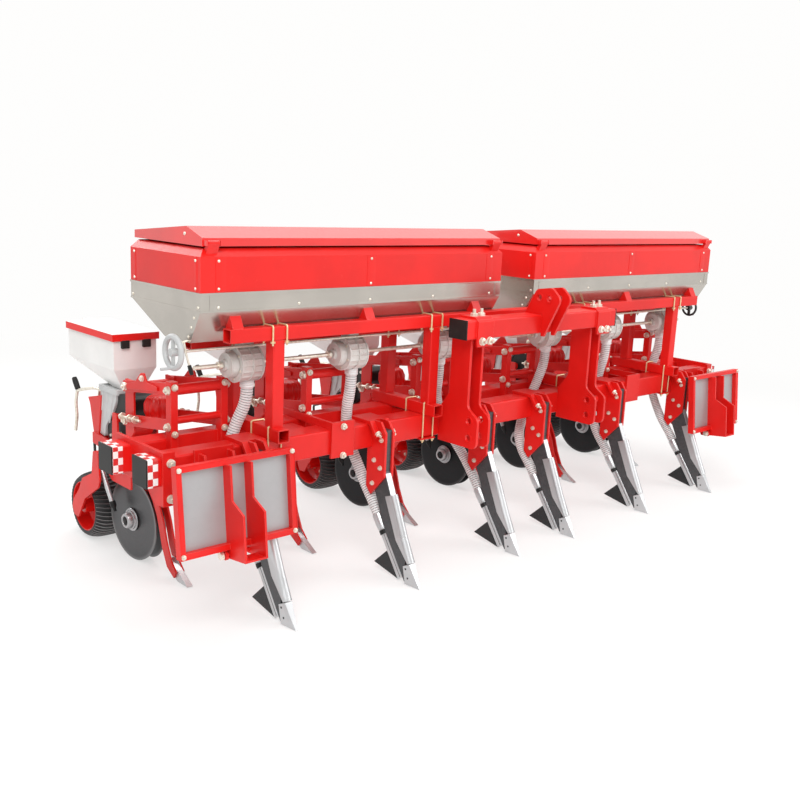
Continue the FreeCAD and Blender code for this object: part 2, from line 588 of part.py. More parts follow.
def build_lid():
    """A sheet lid with a ridge near its front edge, down-turned edges and hinge pins."""
    ridge_y = f"{LID_FRONT} + lid_ridge"
    eave = f"{LID_BASE} + lid_flange"
    outer = plate("lid_shell", [(LID_FRONT, LID_BASE), (LID_FRONT, eave),
                                (ridge_y, f"{eave} + lid_rise"), (LID_REAR, eave),
                                (LID_REAR, LID_BASE)], "hopper_length - 2 * lid_inset")
    inner = plate("lid_room", [
        (f"{LID_FRONT} + lid_sheet", f"{LID_BASE} - 1"),
        (f"{LID_FRONT} + lid_sheet", f"{eave} - lid_sheet"),
        (ridge_y, f"{eave} + lid_rise - lid_sheet"),
        (f"{LID_REAR} - lid_sheet", f"{eave} - lid_sheet"),
        (f"{LID_REAR} - lid_sheet", f"{LID_BASE} - 1")],
        "hopper_length - 2 * lid_inset - 2 * lid_sheet")
    parts = [cut("lid_hollow", outer, inner)]
    for number, spot in enumerate(barrel_spots(), 1):
        for letter, start in (("a", f"{spot} - 8"), ("b", f"{spot} + lid_barrel_length + 2")):
            parts.append(plate(f"lid_lug_{number}{letter}", [
                (f"{LID_AXIS_Y} - 9", f"{LID_AXIS_Z} - 9"),
                (f"{LID_AXIS_Y} - 9", f"{LID_AXIS_Z} + 9"),
                (f"{LID_FRONT} + 1", f"{LID_AXIS_Z} + 9"),
                (f"{LID_FRONT} + 1", f"{LID_AXIS_Z} - 9")], "6", f"{start} + 3"))
        parts.append(rod(f"lid_pin_{number}", (f"{spot} - 8", LID_AXIS_Y, LID_AXIS_Z),
                         "lid_pin", "lid_barrel_length + 16"))
    return fuse("lid_solid", *parts)


def build_metering():
    """Meters below the troughs, the feed shafts through them and the setting handwheels."""
    start = "-meter_length / 2 + bell_length / 2"
    drum = rod("meter_drum_solid", (start, METER_Y, "meter_height"), "meter_radius",
               "meter_length")
    bell = rod("meter_bell", (f"{start} - bell_length", METER_Y, "meter_height"),
               "bell_radius", "bell_length + 1")
    neck = box("meter_neck_solid", ("bell_length / 2 - meter_neck / 2",
                                    f"{METER_Y} - meter_neck / 2", "meter_height"),
               ("meter_neck", "meter_neck", "trough_base - meter_height"))
    spigot = rod("meter_spigot", ("spigot_offset", METER_Y, "spigot_end"), "spigot_radius",
                 "meter_height - spigot_end", "z")
    bore = rod("meter_bore", ("-2 * meter_length", METER_Y, "meter_height"),
               "shaft_radius + pin_clearance", "4 * meter_length")
    meter = cut("meter_unit", fuse("meter_solid", drum, bell, neck, spigot), bore)
    node("fertiliser_meters", repeat("meters", meter, METERS))
    reach = "(shank_inner + 2 * row_spacing + shaft_overhang)"
    shafts = []
    for side in SIDES:
        start = f"-{reach}" if side == "left" else "shaft_inner"
        shafts.append(rod(f"shaft_{side}", (start, METER_Y, "meter_height"), "shaft_radius",
                          f"{reach} - shaft_inner"))
    rod_y = f"({METER_Y} - meter_neck / 2 - rod_radius - fit_gap)"
    left = mirrored("handwheel_left", handwheel("left", rod_y))
    node("feed_shafts", group("shafts", *shafts, left, handwheel("right", rod_y)))


def handwheel(side, rod_y):
    """A handwheel with its crank and its long stem, drawn on the right of the machine."""
    reach, radius = f"{side}_wheel_reach", f"{side}_wheel_radius"
    ring = DOC.addObject("Part::Torus", f"{side}_wheel_ring")
    bind(ring, Radius1=radius, Radius2=f"{side}_wheel_rim")
    ring.Placement.Rotation = FreeCAD.Rotation(FreeCAD.Vector(0, 1, 0), 90)
    place(ring, (reach, rod_y, "rod_height"))
    spoke = box(f"{side}_wheel_spoke", (f"{reach} - 4", f"{rod_y} - 7",
                                        f"rod_height - {radius}"), ("8", "14", f"2 * {radius}"))
    hub = rod(f"{side}_wheel_hub", (f"{reach} - 20", rod_y, "rod_height"), "14", "32")
    crank = rod(f"{side}_wheel_crank", (reach, rod_y, f"rod_height - {radius}"), "5",
                "crank_length")
    stem = rod(f"{side}_wheel_stem", ("shaft_inner + 20", rod_y, "rod_height"), "rod_radius",
               f"{reach} - shaft_inner - 20")
    return fuse(f"{side}_handwheel", ring, spoke, hub, crank, stem)


# ---------------------------------------------------------------- fertiliser shanks
def build_shanks():
    """Each shank hangs from the front beam in a bracket, with its guard, point and tube."""
    base = "beam_front"
    cheek = plate("cheek_unit", [
        (base, f"{BEAM_TOP} + 15"), (f"{base} - 51", f"{BEAM_TOP} + 15"),
        (f"{base} - 83", f"{BEAM_TOP} - 27"), (f"{base} - 83", "410"), (f"{base} - 4", "322"),
        (f"{base} + 24", "352"), (f"{base} + 24", "beam_base"), (base, "beam_base")], "cheek")
    offset = "(shank_plate + cheek) / 2"
    cap = box("cap_unit", ("-cap_width / 2", base, BEAM_TOP), ("cap_width", "beam_side", "15"))
    straps = []
    strap_x = f"({offset} + cheek / 2 + strap_width / 2 + 1)"
    for number, sign in enumerate(SIDES.values(), 1):
        straps.append(plate(f"strap_{number}", [
            (base, BEAM_TOP), (base, f"{BEAM_TOP} + 15"), (f"{base} - 14", f"{BEAM_TOP} + 15"),
            (f"{base} - 58", "beam_base + 58"), (f"{base} - 48", "beam_base + 50"),
            (f"{base} - 8", BEAM_TOP)], "strap_width", f"{sign} * {strap_x}"))
    clamp = fuse("bracket_unit", cap, *straps,
                 *[copy_at(f"cheek_{number}", cheek, (f"{sign} * {offset}", "0", "0"))
                   for number, sign in enumerate(SIDES.values(), 1)])
    node("shank_clamps", repeat("brackets", clamp, SHANKS))

    run, drop = TUBE_TOP[0] - TUBE_FOOT[0], TUBE_TOP[1] - TUBE_FOOT[1]
    axis = f"({base} + {TUBE_TOP[0]} + {run / drop:.5f} * (@ - {TUBE_TOP[1]}))"
    aside = f"(tube_radius + tube_gap) * {math.hypot(run, drop) / drop:.5f}"
    blade = plate("shank_unit", [
        (f"{base} - 5", f"{BEAM_TOP} - 17"), (f"{base} - 75", f"{BEAM_TOP} - 17"),
        (f"{base} - 75", "430"), (f"{base} - 217.6", "114"),
        (axis.replace("@", "12") + f" - {aside}", "12"),
        (axis.replace("@", "182") + f" - {aside}", "182"),
        (f"{base} - 18", "345"), (f"{base} - 5", "400")], "shank_plate")
    wing = plate("wing_unit", [(axis.replace("@", "104") + f" + {aside}", "104"),
                               (f"{base} - 24", "34"),
                               (axis.replace("@", "6") + f" + {aside}", "6")], "wing_plate")
    node("shank_plates", repeat("shanks", group("shank_and_wing", blade, wing), SHANKS))

    guard = plate("guard_unit", [
        (f"{base} - 87.4", "403"), (f"{base} - 109", "403"), (f"{base} - 242", "108"),
        (f"{base} - 220.6", "108")], "guard_width")

    share = plate("share_outline", [
        (f"{base} - 218.5", "107.5"), (f"{base} - 242", "107.5"), (f"{base} - 248", "90"),
        (f"{base} - 266", "46"), (f"{base} - 283", "18"), (f"{base} - shank_reach", "0"),
        (f"{base} - 221.5", "0")], "2 * shank_plate",
        holes=[(f"{base} - 230", "78", "4"), (f"{base} - 236", "42", "4")])
    taper = DOC.addObject("Part::Wedge", "share_taper")
    bind(taper, Xmin="-point_tip / 2", Xmax="point_tip / 2", X2min="-(shank_plate / 2 + 6)",
         X2max="shank_plate / 2 + 6", Ymin="0", Ymax="shank_reach - 216", Zmin="-1",
         Zmax="120", Z2min="-1", Z2max="120")
    place(taper, ("0", f"{base} - shank_reach - 1", "0"))
    point = common("point_unit", share, taper)
    node("shank_points", repeat("points", group("guard_and_point", guard, point), SHANKS))
    build_tubes()


def build_tubes():
    """The fertiliser tube behind each shank, with the collar that takes its hose."""
    share = 26 / math.dist(TUBE_TOP, TUBE_FOOT)
    below = tuple(a + share * (b - a) for a, b in zip(TUBE_TOP, TUBE_FOOT))
    whole = fuse("tube_solid", slanted_rod("tube_bar", TUBE_TOP, TUBE_FOOT, "tube_radius"),
                 slanted_rod("tube_collar", TUBE_TOP, below, "hose_radius + 3"))
    bore = slanted_rod("tube_bore", TUBE_TOP, TUBE_FOOT, "tube_radius - tube_wall")
    node("fertiliser_tubes", repeat("tubes", cut("tube_unit", whole, bore), SHANKS))


def slanted_rod(name, start, end, radius):
    """A round bar between two points of a shank's plane, each as an offset and a height."""
    bar = DOC.addObject("Part::Cylinder", name)
    bind(bar, Radius=radius, Height=f"{math.dist(start, end):.3f}")
    lean = math.degrees(math.atan2(start[0] - end[0], start[1] - end[1]))
    bar.Placement.Rotation = FreeCAD.Rotation(FreeCAD.Vector(1, 0, 0), 180 - lean)
    return place(bar, ("0", f"beam_front + ({start[0]})", f"{start[1]}"))


def build_hoses():
    """A ribbed hose from each meter's spigot, behind the front beam, to the shank's tube."""
    for number, (meter, shank, sway) in enumerate(zip(METERS, SHANKS, HOSE_SWAY), 1):
        upper, lower = value(f"{meter} + spigot_offset"), value(shank)
        front = value("beam_front")
        route = [(upper, value("meter_set"), value("spigot_end"))]
        for (share, shift), (dy, z) in zip(sway, HOSE_HEIGHTS):
            route.append((upper + share * (lower - upper), dy + shift, z))
        route += [(lower, 6, 288.6), (lower, -33, 234)]
        points = [FreeCAD.Vector(x, front + dy, z) for x, dy, z in route]
        shape, radii, length = swept_tube(points, value("hose_radius"))
        hose = DOC.addObject("Part::Feature", f"hose_{number}")
        hose.Shape = shape
        node(f"fert_hose_{number}", hose)
        print(f"hose {number}: length {length:.0f}, radii "
              + " ".join(f"{radius:.0f}" for radius in radii))


def swept_tube(points, radius):
    """A round tube along straight runs joined by arcs, each as large as its runs allow.

    An arc's radius is 0.45 of the shorter run over the tangent of half the turn.
    """
    edges, radii = [], []
    start = points[0]
    for before, corner, after in zip(points, points[1:], points[2:]):
        inward, outward = corner - before, after - corner
        run = 0.45 * min(inward.Length, outward.Length)
        half = inward.getAngle(outward) / 2
        inward.normalize()
        outward.normalize()
        first, last = corner - inward * run, corner + outward * run
        bend = run / math.tan(half)
        bisector = (outward - inward).normalize()
        middle = corner + bisector * (bend / math.cos(half) - bend)
        edges.append(Part.LineSegment(start, first).toShape())
        edges.append(Part.Arc(first, middle, last).toShape())
        radii.append(bend)
        start = last
    edges.append(Part.LineSegment(start, points[-1]).toShape())
    path = Part.Wire(edges)
    section = Part.Wire([Part.Circle(points[0], points[1] - points[0], radius).toShape()])
    solid = path.makePipeShell([section], True, True)
    expected = math.pi * radius ** 2 * path.Length
    if abs(solid.Volume - expected) > 0.01 * expected:
        raise ValueError("a hose's volume differs from its section times its length")
    return solid, radii, path.Length


# ---------------------------------------------------------------- row units
def build_row_brackets():
    """Uprights in front of the rear beam with two tie bars, and the four links behind them."""
    inner = "bracket_width / 2 - upright_width"
    parts = []
    for number, sign in enumerate(SIDES.values(), 1):
        start = inner if sign == "1" else "-bracket_width / 2"
        parts.append(box(f"upright_{number}", (start, f"{SECOND_FRONT} - upright_depth",
                                               "beam_base"),
                         ("upright_width", "upright_depth", "bracket_top - beam_base")))
    bar_y = f"{SECOND_FRONT} - upright_depth / 2"
    parts.append(rod("bar_upper", (f"-({inner})", bar_y, "upper_pivot"), "tie_bar_radius",
                     f"2 * ({inner})"))
    parts.append(rod("bar_lower", (f"-({inner})", bar_y, "lower_pivot + 22"),
                     "tie_bar_radius - 6", f"2 * ({inner})"))
    parts.append(box("bracket_base", (f"-({inner})", f"{SECOND_FRONT} - 12", "beam_base"),
                     (f"2 * ({inner})", "12", "beam_side + 12")))
    node("row_brackets", repeat("row_bracket_set", fuse("row_bracket_unit", *parts), ROWS))

    links = []
    half = "link_height / 2"
    for name, pivot in (("upper", "upper_pivot"), ("lower", "lower_pivot")):
        front, rear = SECOND_FRONT, f"{UNIT_Y} + 30"
        web = plate(f"{name}_link", [
            (front, f"{pivot} - {half}"), (rear, f"{pivot} - link_drop - {half}"),
            (rear, f"{pivot} - link_drop + {half}"), (front, f"{pivot} + {half}")],
            "link_plate")
        for number, sign in enumerate(SIDES.values(), 1):
            links.append(copy_at(f"{name}_link_{number}", web,
                                 (f"{sign} * ({inner} + link_plate / 2)", "0", "0")))
    node("row_links", repeat("row_link_set", group("link_unit", *links), ROWS))


def build_row_frames():
    """A row unit's two side plates, their cross tubes and the carrier of the discs."""
    outer = "(bracket_width / 2 - upright_width)"
    sheet = plate("side_unit", [
        (UNIT_Y, "540"), (f"{UNIT_Y} - 34", "575"), (f"{UNIT_Y} - 34", "775"),
        (f"{UNIT_Y} + 32", "775"), (f"{UNIT_Y} + 34", "540"), (f"{UNIT_Y} + 60", "492"),
        (f"{UNIT_Y} + 104", "492"), (f"{UNIT_Y} + 112", "617"), (f"{UNIT_Y} + 148", "617"),
        (f"{UNIT_Y} + 156", "492"), (f"{UNIT_Y} + 332", "498"), (f"{UNIT_Y} + 332", "452"),
        (f"{UNIT_Y} + 220", "440"), (f"{UNIT_Y} + 220", "370"), (f"{UNIT_Y} + 160", "330"),
        (UNIT_Y, "330")], "side_plate", rounding="4")
    tower = plate("tower_solid", [
        (f"{UNIT_Y} + 262", "664"), (f"{UNIT_Y} + 382", "636"), (f"{UNIT_Y} + 366", "612"),
        (f"{UNIT_Y} + 328", "464"), (f"{UNIT_Y} + 298", "464")],
        f"2 * ({outer} - side_plate)")
    hollow = plate("tower_room", [
        (f"{UNIT_Y} + 290", "700"), (f"{UNIT_Y} + 400", "700"), (f"{UNIT_Y} + 400", "640"),
        (f"{UNIT_Y} + 318", "500"), (f"{UNIT_Y} + 311", "500")],
        f"2 * ({outer} - 2 * side_plate)")
    parts = [copy_at(f"side_{number}", sheet, (f"{sign} * ({outer} - side_plate / 2)", "0", "0"))
             for number, sign in enumerate(SIDES.values(), 1)]
    span = f"2 * ({outer} - side_plate / 2)"
    parts.append(cut("tower", tower, hollow))
    for number, (y, z) in enumerate(((f"{UNIT_Y} + 10", "745"), (f"{UNIT_Y} + 196", "400")), 1):
        parts.append(rod(f"cross_{number}", (f"-({outer} - side_plate / 2)", y, z), "16", span))
    parts.append(box("carrier_bar", (f"-({outer} - side_plate / 2)", f"{UNIT_Y} + 30", "380"),
                     (span, "120", "30")))
    parts.append(plate("carrier_unit", [
        (f"{UNIT_Y} + 15", "390"), (f"{UNIT_Y} + 170", "390"), (f"{DISC_Y} + 30", "320"),
        (f"{DISC_Y} + 26", "disc_height - 26"), (f"{DISC_Y} - 26", "disc_height - 26"),
        (f"{DISC_Y} - 40", "300"), (f"{UNIT_Y} + 15", "335")], "carrier"))
    for number, (sign, turn) in enumerate((("-1", "disc_angle"), ("1", "-disc_angle")), 1):
        axle = DOC.addObject("Part::Cylinder", f"disc_axle_{number}")
        bind(axle, Radius="disc_axle", Height="disc_spread + disc_hub_length")
        holder = group(f"axle_hold_{number}", axle)
        axle.Placement.Rotation = FreeCAD.Rotation(FreeCAD.Vector(0, float(sign), 0), 90)
        degrees = value(turn)
        holder.Placement.Rotation = FreeCAD.Rotation(FreeCAD.Vector(0, 0, 1), degrees)
        shift = f"disc_spread * {math.tan(math.radians(value('disc_angle'))):.6f}"
        place(holder, ("0", f"{DISC_Y} + {shift}", "disc_height"))
        parts.append(holder)
    unit = fuse("row_frame_unit", *parts)
    node("row_frames", repeat("row_frame_set", unit, ROWS))


def build_tines():
    """The furrow tine: two bars that curve forwards and a silver point between them."""
    base = DISC_Y
    bar = plate("tine_unit", [
        (f"{base} - 92", "372"), (f"{base} - 48", "372"), (f"{base} - 100", "325"),
        (f"{base} - 140", "285"), (f"{base} - 172", "235"), (f"{base} - 192", "180"),
        (f"{base} - 210", "120"), (f"{base} - 250", "44"), (f"{base} - 304", "14"),
        (f"{base} - 318", "40"), (f"{base} - 280", "76"), (f"{base} - 246", "146"),
        (f"{base} - 222", "220"), (f"{base} - 186", "292"), (f"{base} - 140", "340")], "8")
    bars = [copy_at(f"tine_{number}", bar, (f"{sign} * (carrier / 2 + 4)", "0", "0"))
            for number, sign in enumerate(SIDES.values(), 1)]
    tip = plate("tine_point_unit", [
        (f"{base} - 395", "4"), (f"{base} - 315", "48"), (f"{base} - 250", "78"),
        (f"{base} - 236", "40"), (f"{base} - 320", "4")], "carrier")
    node("row_tines", repeat("tine_set", group("tine_unit_whole", *bars, tip), ROWS))


def build_discs():
    """Twelve opener discs, in pairs that draw together towards the front."""
    plate_disc = rod("disc_sheet", ("-disc_plate / 2", "0", "0"), "disc_radius", "disc_plate")
    hub = rod("disc_hub_solid", ("0", "0", "0"), "disc_hub", "disc_hub_length - 6")
    flange = rod("disc_flange", ("-disc_plate / 2 - 5", "0", "0"), "disc_hub + 10",
                 "disc_plate + 10")
    bore = rod("disc_bore", ("-disc_plate / 2 - 20", "0", "0"), "disc_axle + pin_clearance",
               "disc_hub_length + 50")
    disc = cut("disc_unit", fuse("disc_solid", plate_disc, hub, flange), bore)
    for row, spot in enumerate(ROWS, 1):
        for side, sign, degrees in (("left", "-1", "180 + disc_angle"),
                                    ("right", "1", "-disc_angle")):
            name = f"disc_{row}_{side}"
            link = DOC.addObject("App::Link", f"{name}_link")
            link.LinkedObject = disc
            place(link, (f"{spot} + ({sign}) * disc_spread",
                         DISC_Y, "disc_height"), ((0, 0, 1), degrees))
            node(f"opener_disc_{side}_{row}", group(name, link))


def build_press_wheels():
    """The wide press wheel of each row, its fork and its axle."""
    width = "press_width"
    crown = rod("tyre_crown", (f"-{width} / 2 + tyre_shoulder", PRESS_Y, "press_radius"),
                "press_radius", f"{width} - 2 * tyre_shoulder")
    shoulders = []
    for number, sign in enumerate((1, -1), 1):
        slope = DOC.addObject("Part::Cone", f"tyre_shoulder_{number}")
        bind(slope, Radius1="press_radius - tyre_shoulder / 2", Radius2="press_radius",
             Height="tyre_shoulder")
        slope.Placement.Rotation = FreeCAD.Rotation(FreeCAD.Vector(0, sign, 0), 90)
        shoulders.append(place(slope, (f"{-sign} * {width} / 2", PRESS_Y, "press_radius")))
    hole = rod("tyre_hole", (f"-{width} / 2 - 1", PRESS_Y, "press_radius"), "rim_radius",
               f"{width} + 2")
    tyre = cut("tyre_unit", fuse("tyre_outer", crown, *shoulders), hole)
    band = cut("rim_band", rod("rim_outer", (f"-{width} / 2 + 6", PRESS_Y, "press_radius"),
                               "rim_radius", f"{width} - 12"),
               rod("rim_hole", (f"-{width} / 2", PRESS_Y, "press_radius"), "rim_radius - 6",
                   width))
    web = rod("rim_web", ("-4", PRESS_Y, "press_radius"), "rim_radius - 3", "8")
    hub = rod("rim_hub", (f"-{width} / 2 - 2", PRESS_Y, "press_radius"), "26", f"{width} + 4")
    bore = rod("rim_bore", (f"-{width}", PRESS_Y, "press_radius"),
               "press_axle + pin_clearance", f"2 * {width}")
    wheel = cut("press_unit", fuse("press_solid", tyre, band, web, hub), bore)
    for row, spot in enumerate(ROWS, 1):
        node(f"press_wheel_{row}",
             group(f"press_{row}", copy_at(f"press_{row}_link", wheel, (spot, "0", "0"))))

    arm_x = "(press_width / 2 + fork_gap + fork_plate / 2)"
    rear = f"{UNIT_Y} + 220"
    arm = plate("fork_unit_arm", [
        (rear, "435"), (f"{rear} + 44", "435"), (f"{rear} + 60", "336"),
        (f"{PRESS_Y} - 66", "294"), (f"{PRESS_Y} - 30", "236"), (f"{PRESS_Y} + 26", "176"),
        (f"{PRESS_Y} + 40", "press_radius"), (f"{PRESS_Y} + 22", "press_radius - 36"),
        (f"{PRESS_Y} - 18", "press_radius - 36"), (f"{PRESS_Y} - 84", "206"),
        (f"{rear} + 4", "286"), (f"{rear} - 12", "320"), (f"{rear} - 4", "375")],
        "fork_plate", rounding="5")
    parts = [copy_at(f"fork_arm_{number}", arm, (f"{sign} * {arm_x}", "0", "0"))
             for number, sign in enumerate(SIDES.values(), 1)]
    parts.append(box("fork_bridge", (f"-{arm_x}", rear, "375"), (f"2 * {arm_x}", "40", "60")))
    parts.append(rod("fork_axle", (f"-{arm_x}", PRESS_Y, "press_radius"), "press_axle",
                     f"2 * {arm_x}"))
    node("wheel_forks", repeat("fork_set", fuse("fork_unit", *parts), ROWS))


def build_seed_boxes():
    """The seed meter, the white seed hopper and its lid on each row unit."""
    drum = rod("seed_drum", ("-meter_drum_width / 2", f"{UNIT_Y} + 130", "595"), "meter_drum",
               "meter_drum_width")
    throat = box("seed_throat", ("-seed_mouth / 2 + 6", f"{UNIT_Y} + 115", "595"),
                 ("seed_mouth - 12", "80", "seed_base - 595"))
    outer_half = "(bracket_width / 2 - upright_width - side_plate)"
    stub = rod("seed_stub", (f"-{outer_half}", f"{UNIT_Y} + 130", "595"), "18",
               f"2 * {outer_half}")
    node("seed_meters", repeat("seed_meter_set", fuse("seed_meter_unit", drum, throat, stub),
                               ROWS))

    outer = fuse("seed_outside", seed_block("seed_upper", "0", "seed_shoulder", "seed_top"),
                 seed_funnel("seed_lower", "0", "seed_base"))
    inner = fuse("seed_inside",
                 seed_block("seed_room", "seed_wall", "seed_shoulder - 0.5", "seed_top + 1"),
                 seed_funnel("seed_room_low", "seed_wall", "seed_base + seed_wall"))
    knuckle = rod("seed_knuckle", ("-22", SEED_AXIS_Y, SEED_AXIS_Z), "7", "44")
    leaf = plate("seed_leaf", [(SEED_REAR, f"{SEED_AXIS_Z} - 30"),
                               (SEED_REAR, "seed_top - 2"),
                               (SEED_AXIS_Y, f"{SEED_AXIS_Z} - 2"),
                               (f"{SEED_AXIS_Y} + 4", f"{SEED_AXIS_Z} - 5")], "44")
    bore = rod("seed_bore", ("-30", SEED_AXIS_Y, SEED_AXIS_Z), "3 + pin_clearance", "60")
    hinge = cut("seed_hinge", fuse("seed_hinge_solid", knuckle, leaf), bore)
    hopper = fuse("seed_hopper_unit", cut("seed_hollow", outer, inner), hinge)
    node("seed_hoppers", repeat("seed_hopper_set", hopper, ROWS))

    lid = build_seed_lid()
    for row, spot in enumerate(ROWS, 1):
        node(f"seed_lid_{row}",
             group(f"seed_lid_hold_{row}",
                   copy_at(f"seed_lid_link_{row}", lid, (spot, "0", "0"))))


def seed_block(name, margin, base, head):
    """The upright part of a seed hopper, inside a margin."""
    return box(name, (f"-seed_width / 2 + {margin}", f"{SEED_FRONT} + {margin}", base),
               (f"seed_width - 2 * {margin}", f"seed_depth - 2 * {margin}",
                f"{head} - ({base})"))


def seed_funnel(name, margin, base):
    """The lower part of a seed hopper, which narrows to its mouth near the front."""
    wedge = DOC.addObject("Part::Wedge", name)
    half, mouth = f"(seed_width / 2 - {margin})", f"(seed_mouth / 2 - {margin})"
    bind(wedge, Xmin=f"-{mouth}", Xmax=mouth, X2min=f"-{half}", X2max=half, Ymin="0",
         Ymax=f"seed_shoulder - ({base})", Zmin=f"seed_depth - 110 + {margin}",
         Zmax=f"seed_depth - 20 - {margin}", Z2min=f"{margin}",
         Z2max=f"seed_depth - {margin}")
    wedge.Placement.Rotation = FreeCAD.Rotation(FreeCAD.Vector(1, 0, 0), 90)
    place(wedge, ("0", SEED_REAR, base))
    return wedge


def build_seed_lid():
    """A flat lid with a deep front edge, hinged behind the hopper's rear wall."""
    reach = "(seed_width / 2 + seed_lid_gap)"
    front = f"({SEED_FRONT} - seed_lid_gap - seed_lid_sheet)"
    rear = f"({SEED_REAR} + 5)"
    head = "(seed_top + seed_lid_gap)"
    top = box("seed_lid_top", (f"-{reach} - seed_lid_sheet", front, head),
              (f"2 * ({reach} + seed_lid_sheet)", f"{rear} - {front}", "seed_lid_sheet"))
    apron = box("seed_lid_front", (f"-{reach} - seed_lid_sheet", front,
                                   f"{head} - seed_lid_flange"),
                (f"2 * ({reach} + seed_lid_sheet)", "seed_lid_sheet", "seed_lid_flange"))
    parts = [top, apron]
    for number, start in enumerate((f"-{reach} - seed_lid_sheet", reach), 1):
        parts.append(box(f"seed_lid_side_{number}", (start, front,
                                                     f"{head} - seed_lid_flange"),
                         ("seed_lid_sheet", f"{rear} - {front}", "seed_lid_flange")))
    for number, centre in enumerate(("-28", "28"), 1):
        parts.append(plate(f"seed_lid_lug_{number}", [
            (f"{rear} - 6", f"{head} + seed_lid_sheet"), (f"{rear} - 6", f"{head} + 1"),
            (f"{SEED_AXIS_Y} - 6", f"{SEED_AXIS_Z} - 6"),
            (f"{SEED_AXIS_Y} + 6", f"{SEED_AXIS_Z} - 6"),
            (f"{SEED_AXIS_Y} + 6", f"{head} + seed_lid_sheet")], "6", centre))
    parts.append(rod("seed_lid_pin", ("-30", SEED_AXIS_Y, SEED_AXIS_Z), "3", "60"))
    return fuse("seed_lid_unit", *parts)


# ---------------------------------------------------------------- folding steps
def build_steps():
    """Framed steps, folded up in front of the beam, that swing down about a low pin."""
    half = "step_width / 2"
    panel = box("step_block", (f"-{half}", STEP_FRONT, "step_base"),
                ("step_width", "step_depth", "step_height"))
    window = box("step_window", (f"-{half} + step_member", f"{STEP_FRONT} - 1",
                                 "step_base + step_member"),
                 ("step_width - 2 * step_member", "step_depth + 2",
                  "step_height - 2 * step_member"))
    sheet_front = f"{STEP_FRONT} + step_depth - 2 * step_sheet"
    rib = plate("rib_unit", [
        (sheet_front, "step_base + step_height - step_member"),
        (f"{STEP_FRONT} - rib_depth", "step_base + step_height - step_member"),
        (f"{STEP_FRONT} - rib_depth", "step_base + 170"),
        (f"{STEP_FRONT} - rib_foot", "step_base + 130"),
        (f"{STEP_FRONT} - rib_foot", f"{STEP_AXIS_Z} - 12"),
        (f"{STEP_AXIS_Y} + 10", f"{STEP_AXIS_Z} - 14"), (f"{STEP_AXIS_Y} + 10", "step_base"),
        (sheet_front, "step_base + 4")], "rib_plate",
        holes=[(STEP_AXIS_Y, STEP_AXIS_Z, "step_pin + pin_clearance")])
    ribs = [copy_at(f"rib_{number}", rib, (f"{sign} * rib_spread", "0", "0"))
            for number, sign in enumerate(SIDES.values(), 1)]
    lip = box("step_lip", ("-rib_spread", f"{STEP_FRONT} - rib_foot", f"{STEP_AXIS_Z} - 12"),
              ("2 * rib_spread", "70", "6"))
    frame = fuse("step_frame_unit", cut("step_ring", panel, window), *ribs, lip)
    sheet = box("step_sheet_unit", (f"-{half} + step_member", sheet_front,
                                    "step_base + step_member"),
                ("step_width - 2 * step_member", "step_sheet",
                 "step_height - 2 * step_member"))
    skin = group("step_skin", sheet)

    arm = plate("arm_unit", [
        ("beam_front", "beam_base"), ("beam_front", f"{BEAM_TOP} - 2"),
        ("beam_front - 44", f"{BEAM_TOP} - 2"),
        (f"{STEP_FRONT} + step_depth + 30", "step_base + 24"),
        (f"{STEP_FRONT} + step_depth + 10", f"{STEP_AXIS_Z} + 14"),
        (f"{STEP_AXIS_Y} - 4", f"{STEP_AXIS_Z} + 15"),
        (f"{STEP_AXIS_Y} - 15", f"{STEP_AXIS_Z} + 4"),
        (f"{STEP_AXIS_Y} - 15", f"{STEP_AXIS_Z} - 10"),
        (f"{STEP_AXIS_Y} - 8", f"{STEP_AXIS_Z} - 16"),
        (f"{STEP_AXIS_Y} + 34", f"{STEP_AXIS_Z} - 16")], "arm_plate")
    arms = [copy_at(f"arm_{number}", arm, (f"{sign} * arm_spread", "0", "0"))
            for number, sign in enumerate(SIDES.values(), 1)]
    pin = rod("step_pin_unit", ("-arm_spread - 12", STEP_AXIS_Y, STEP_AXIS_Z), "step_pin",
              "2 * arm_spread + 24")
    pad = box("arm_pad", ("-arm_spread - 22", "beam_front - 12", "beam_base - 4"),
              ("2 * arm_spread + 44", "12", "beam_side + 16"))
    bracket = fuse("step_bracket_unit", *arms, pin, pad)
    spots = [f"{sign} * step_centre" for sign in SIDES.values()]
    node("step_brackets", repeat("step_bracket_set", bracket, spots))
    for side, sign in SIDES.items():
        spot = (f"{sign} * step_centre",
                f"{STEP_AXIS_Y} * (1 - cos(step_lean)) - {STEP_AXIS_Z} * sin(step_lean)",
                f"{STEP_AXIS_Z} * (1 - cos(step_lean)) + {STEP_AXIS_Y} * sin(step_lean)")
        turn = ((1, 0, 0), "-step_lean")
        node(f"step_{side}", group(f"step_set_{side}",
                                   copy_at(f"step_link_{side}", frame, spot, turn),
                                   copy_at(f"sheet_link_{side}", skin, spot, turn)))


# ---------------------------------------------------------------- document and files
def check_document():
    """Stop with a message if any object failed or any node's shape isn't sound."""
    for thing in DOC.Objects:
        if {"Invalid", "Error"} & set(thing.State):
            raise ValueError(f"{thing.Name} did not recompute")
    for label, thing in NODES.items():
        if thing.Shape.isNull() or not thing.Shape.isValid():
            raise ValueError(f"{label} has no valid shape")


def write_files():
    """Write each node's STEP file."""
    os.makedirs("parts", exist_ok=True)
    for label, thing in NODES.items():
        thing.Shape.exportStep(os.path.join("parts", f"{label}.step"))


def main():
    """Build every sub-part, check them and write their files."""
    fill_sheet()
    for build in (build_beams, build_end_plates, build_stand, build_hitch, build_hoppers,
                  build_metering, build_shanks, build_hoses, build_row_brackets,
                  build_row_frames, build_tines, build_discs, build_press_wheels,
                  build_seed_boxes, build_steps):
        build()
    DOC.recompute()
    check_document()
    write_files()
    print(f"{len(NODES)} nodes")


main()
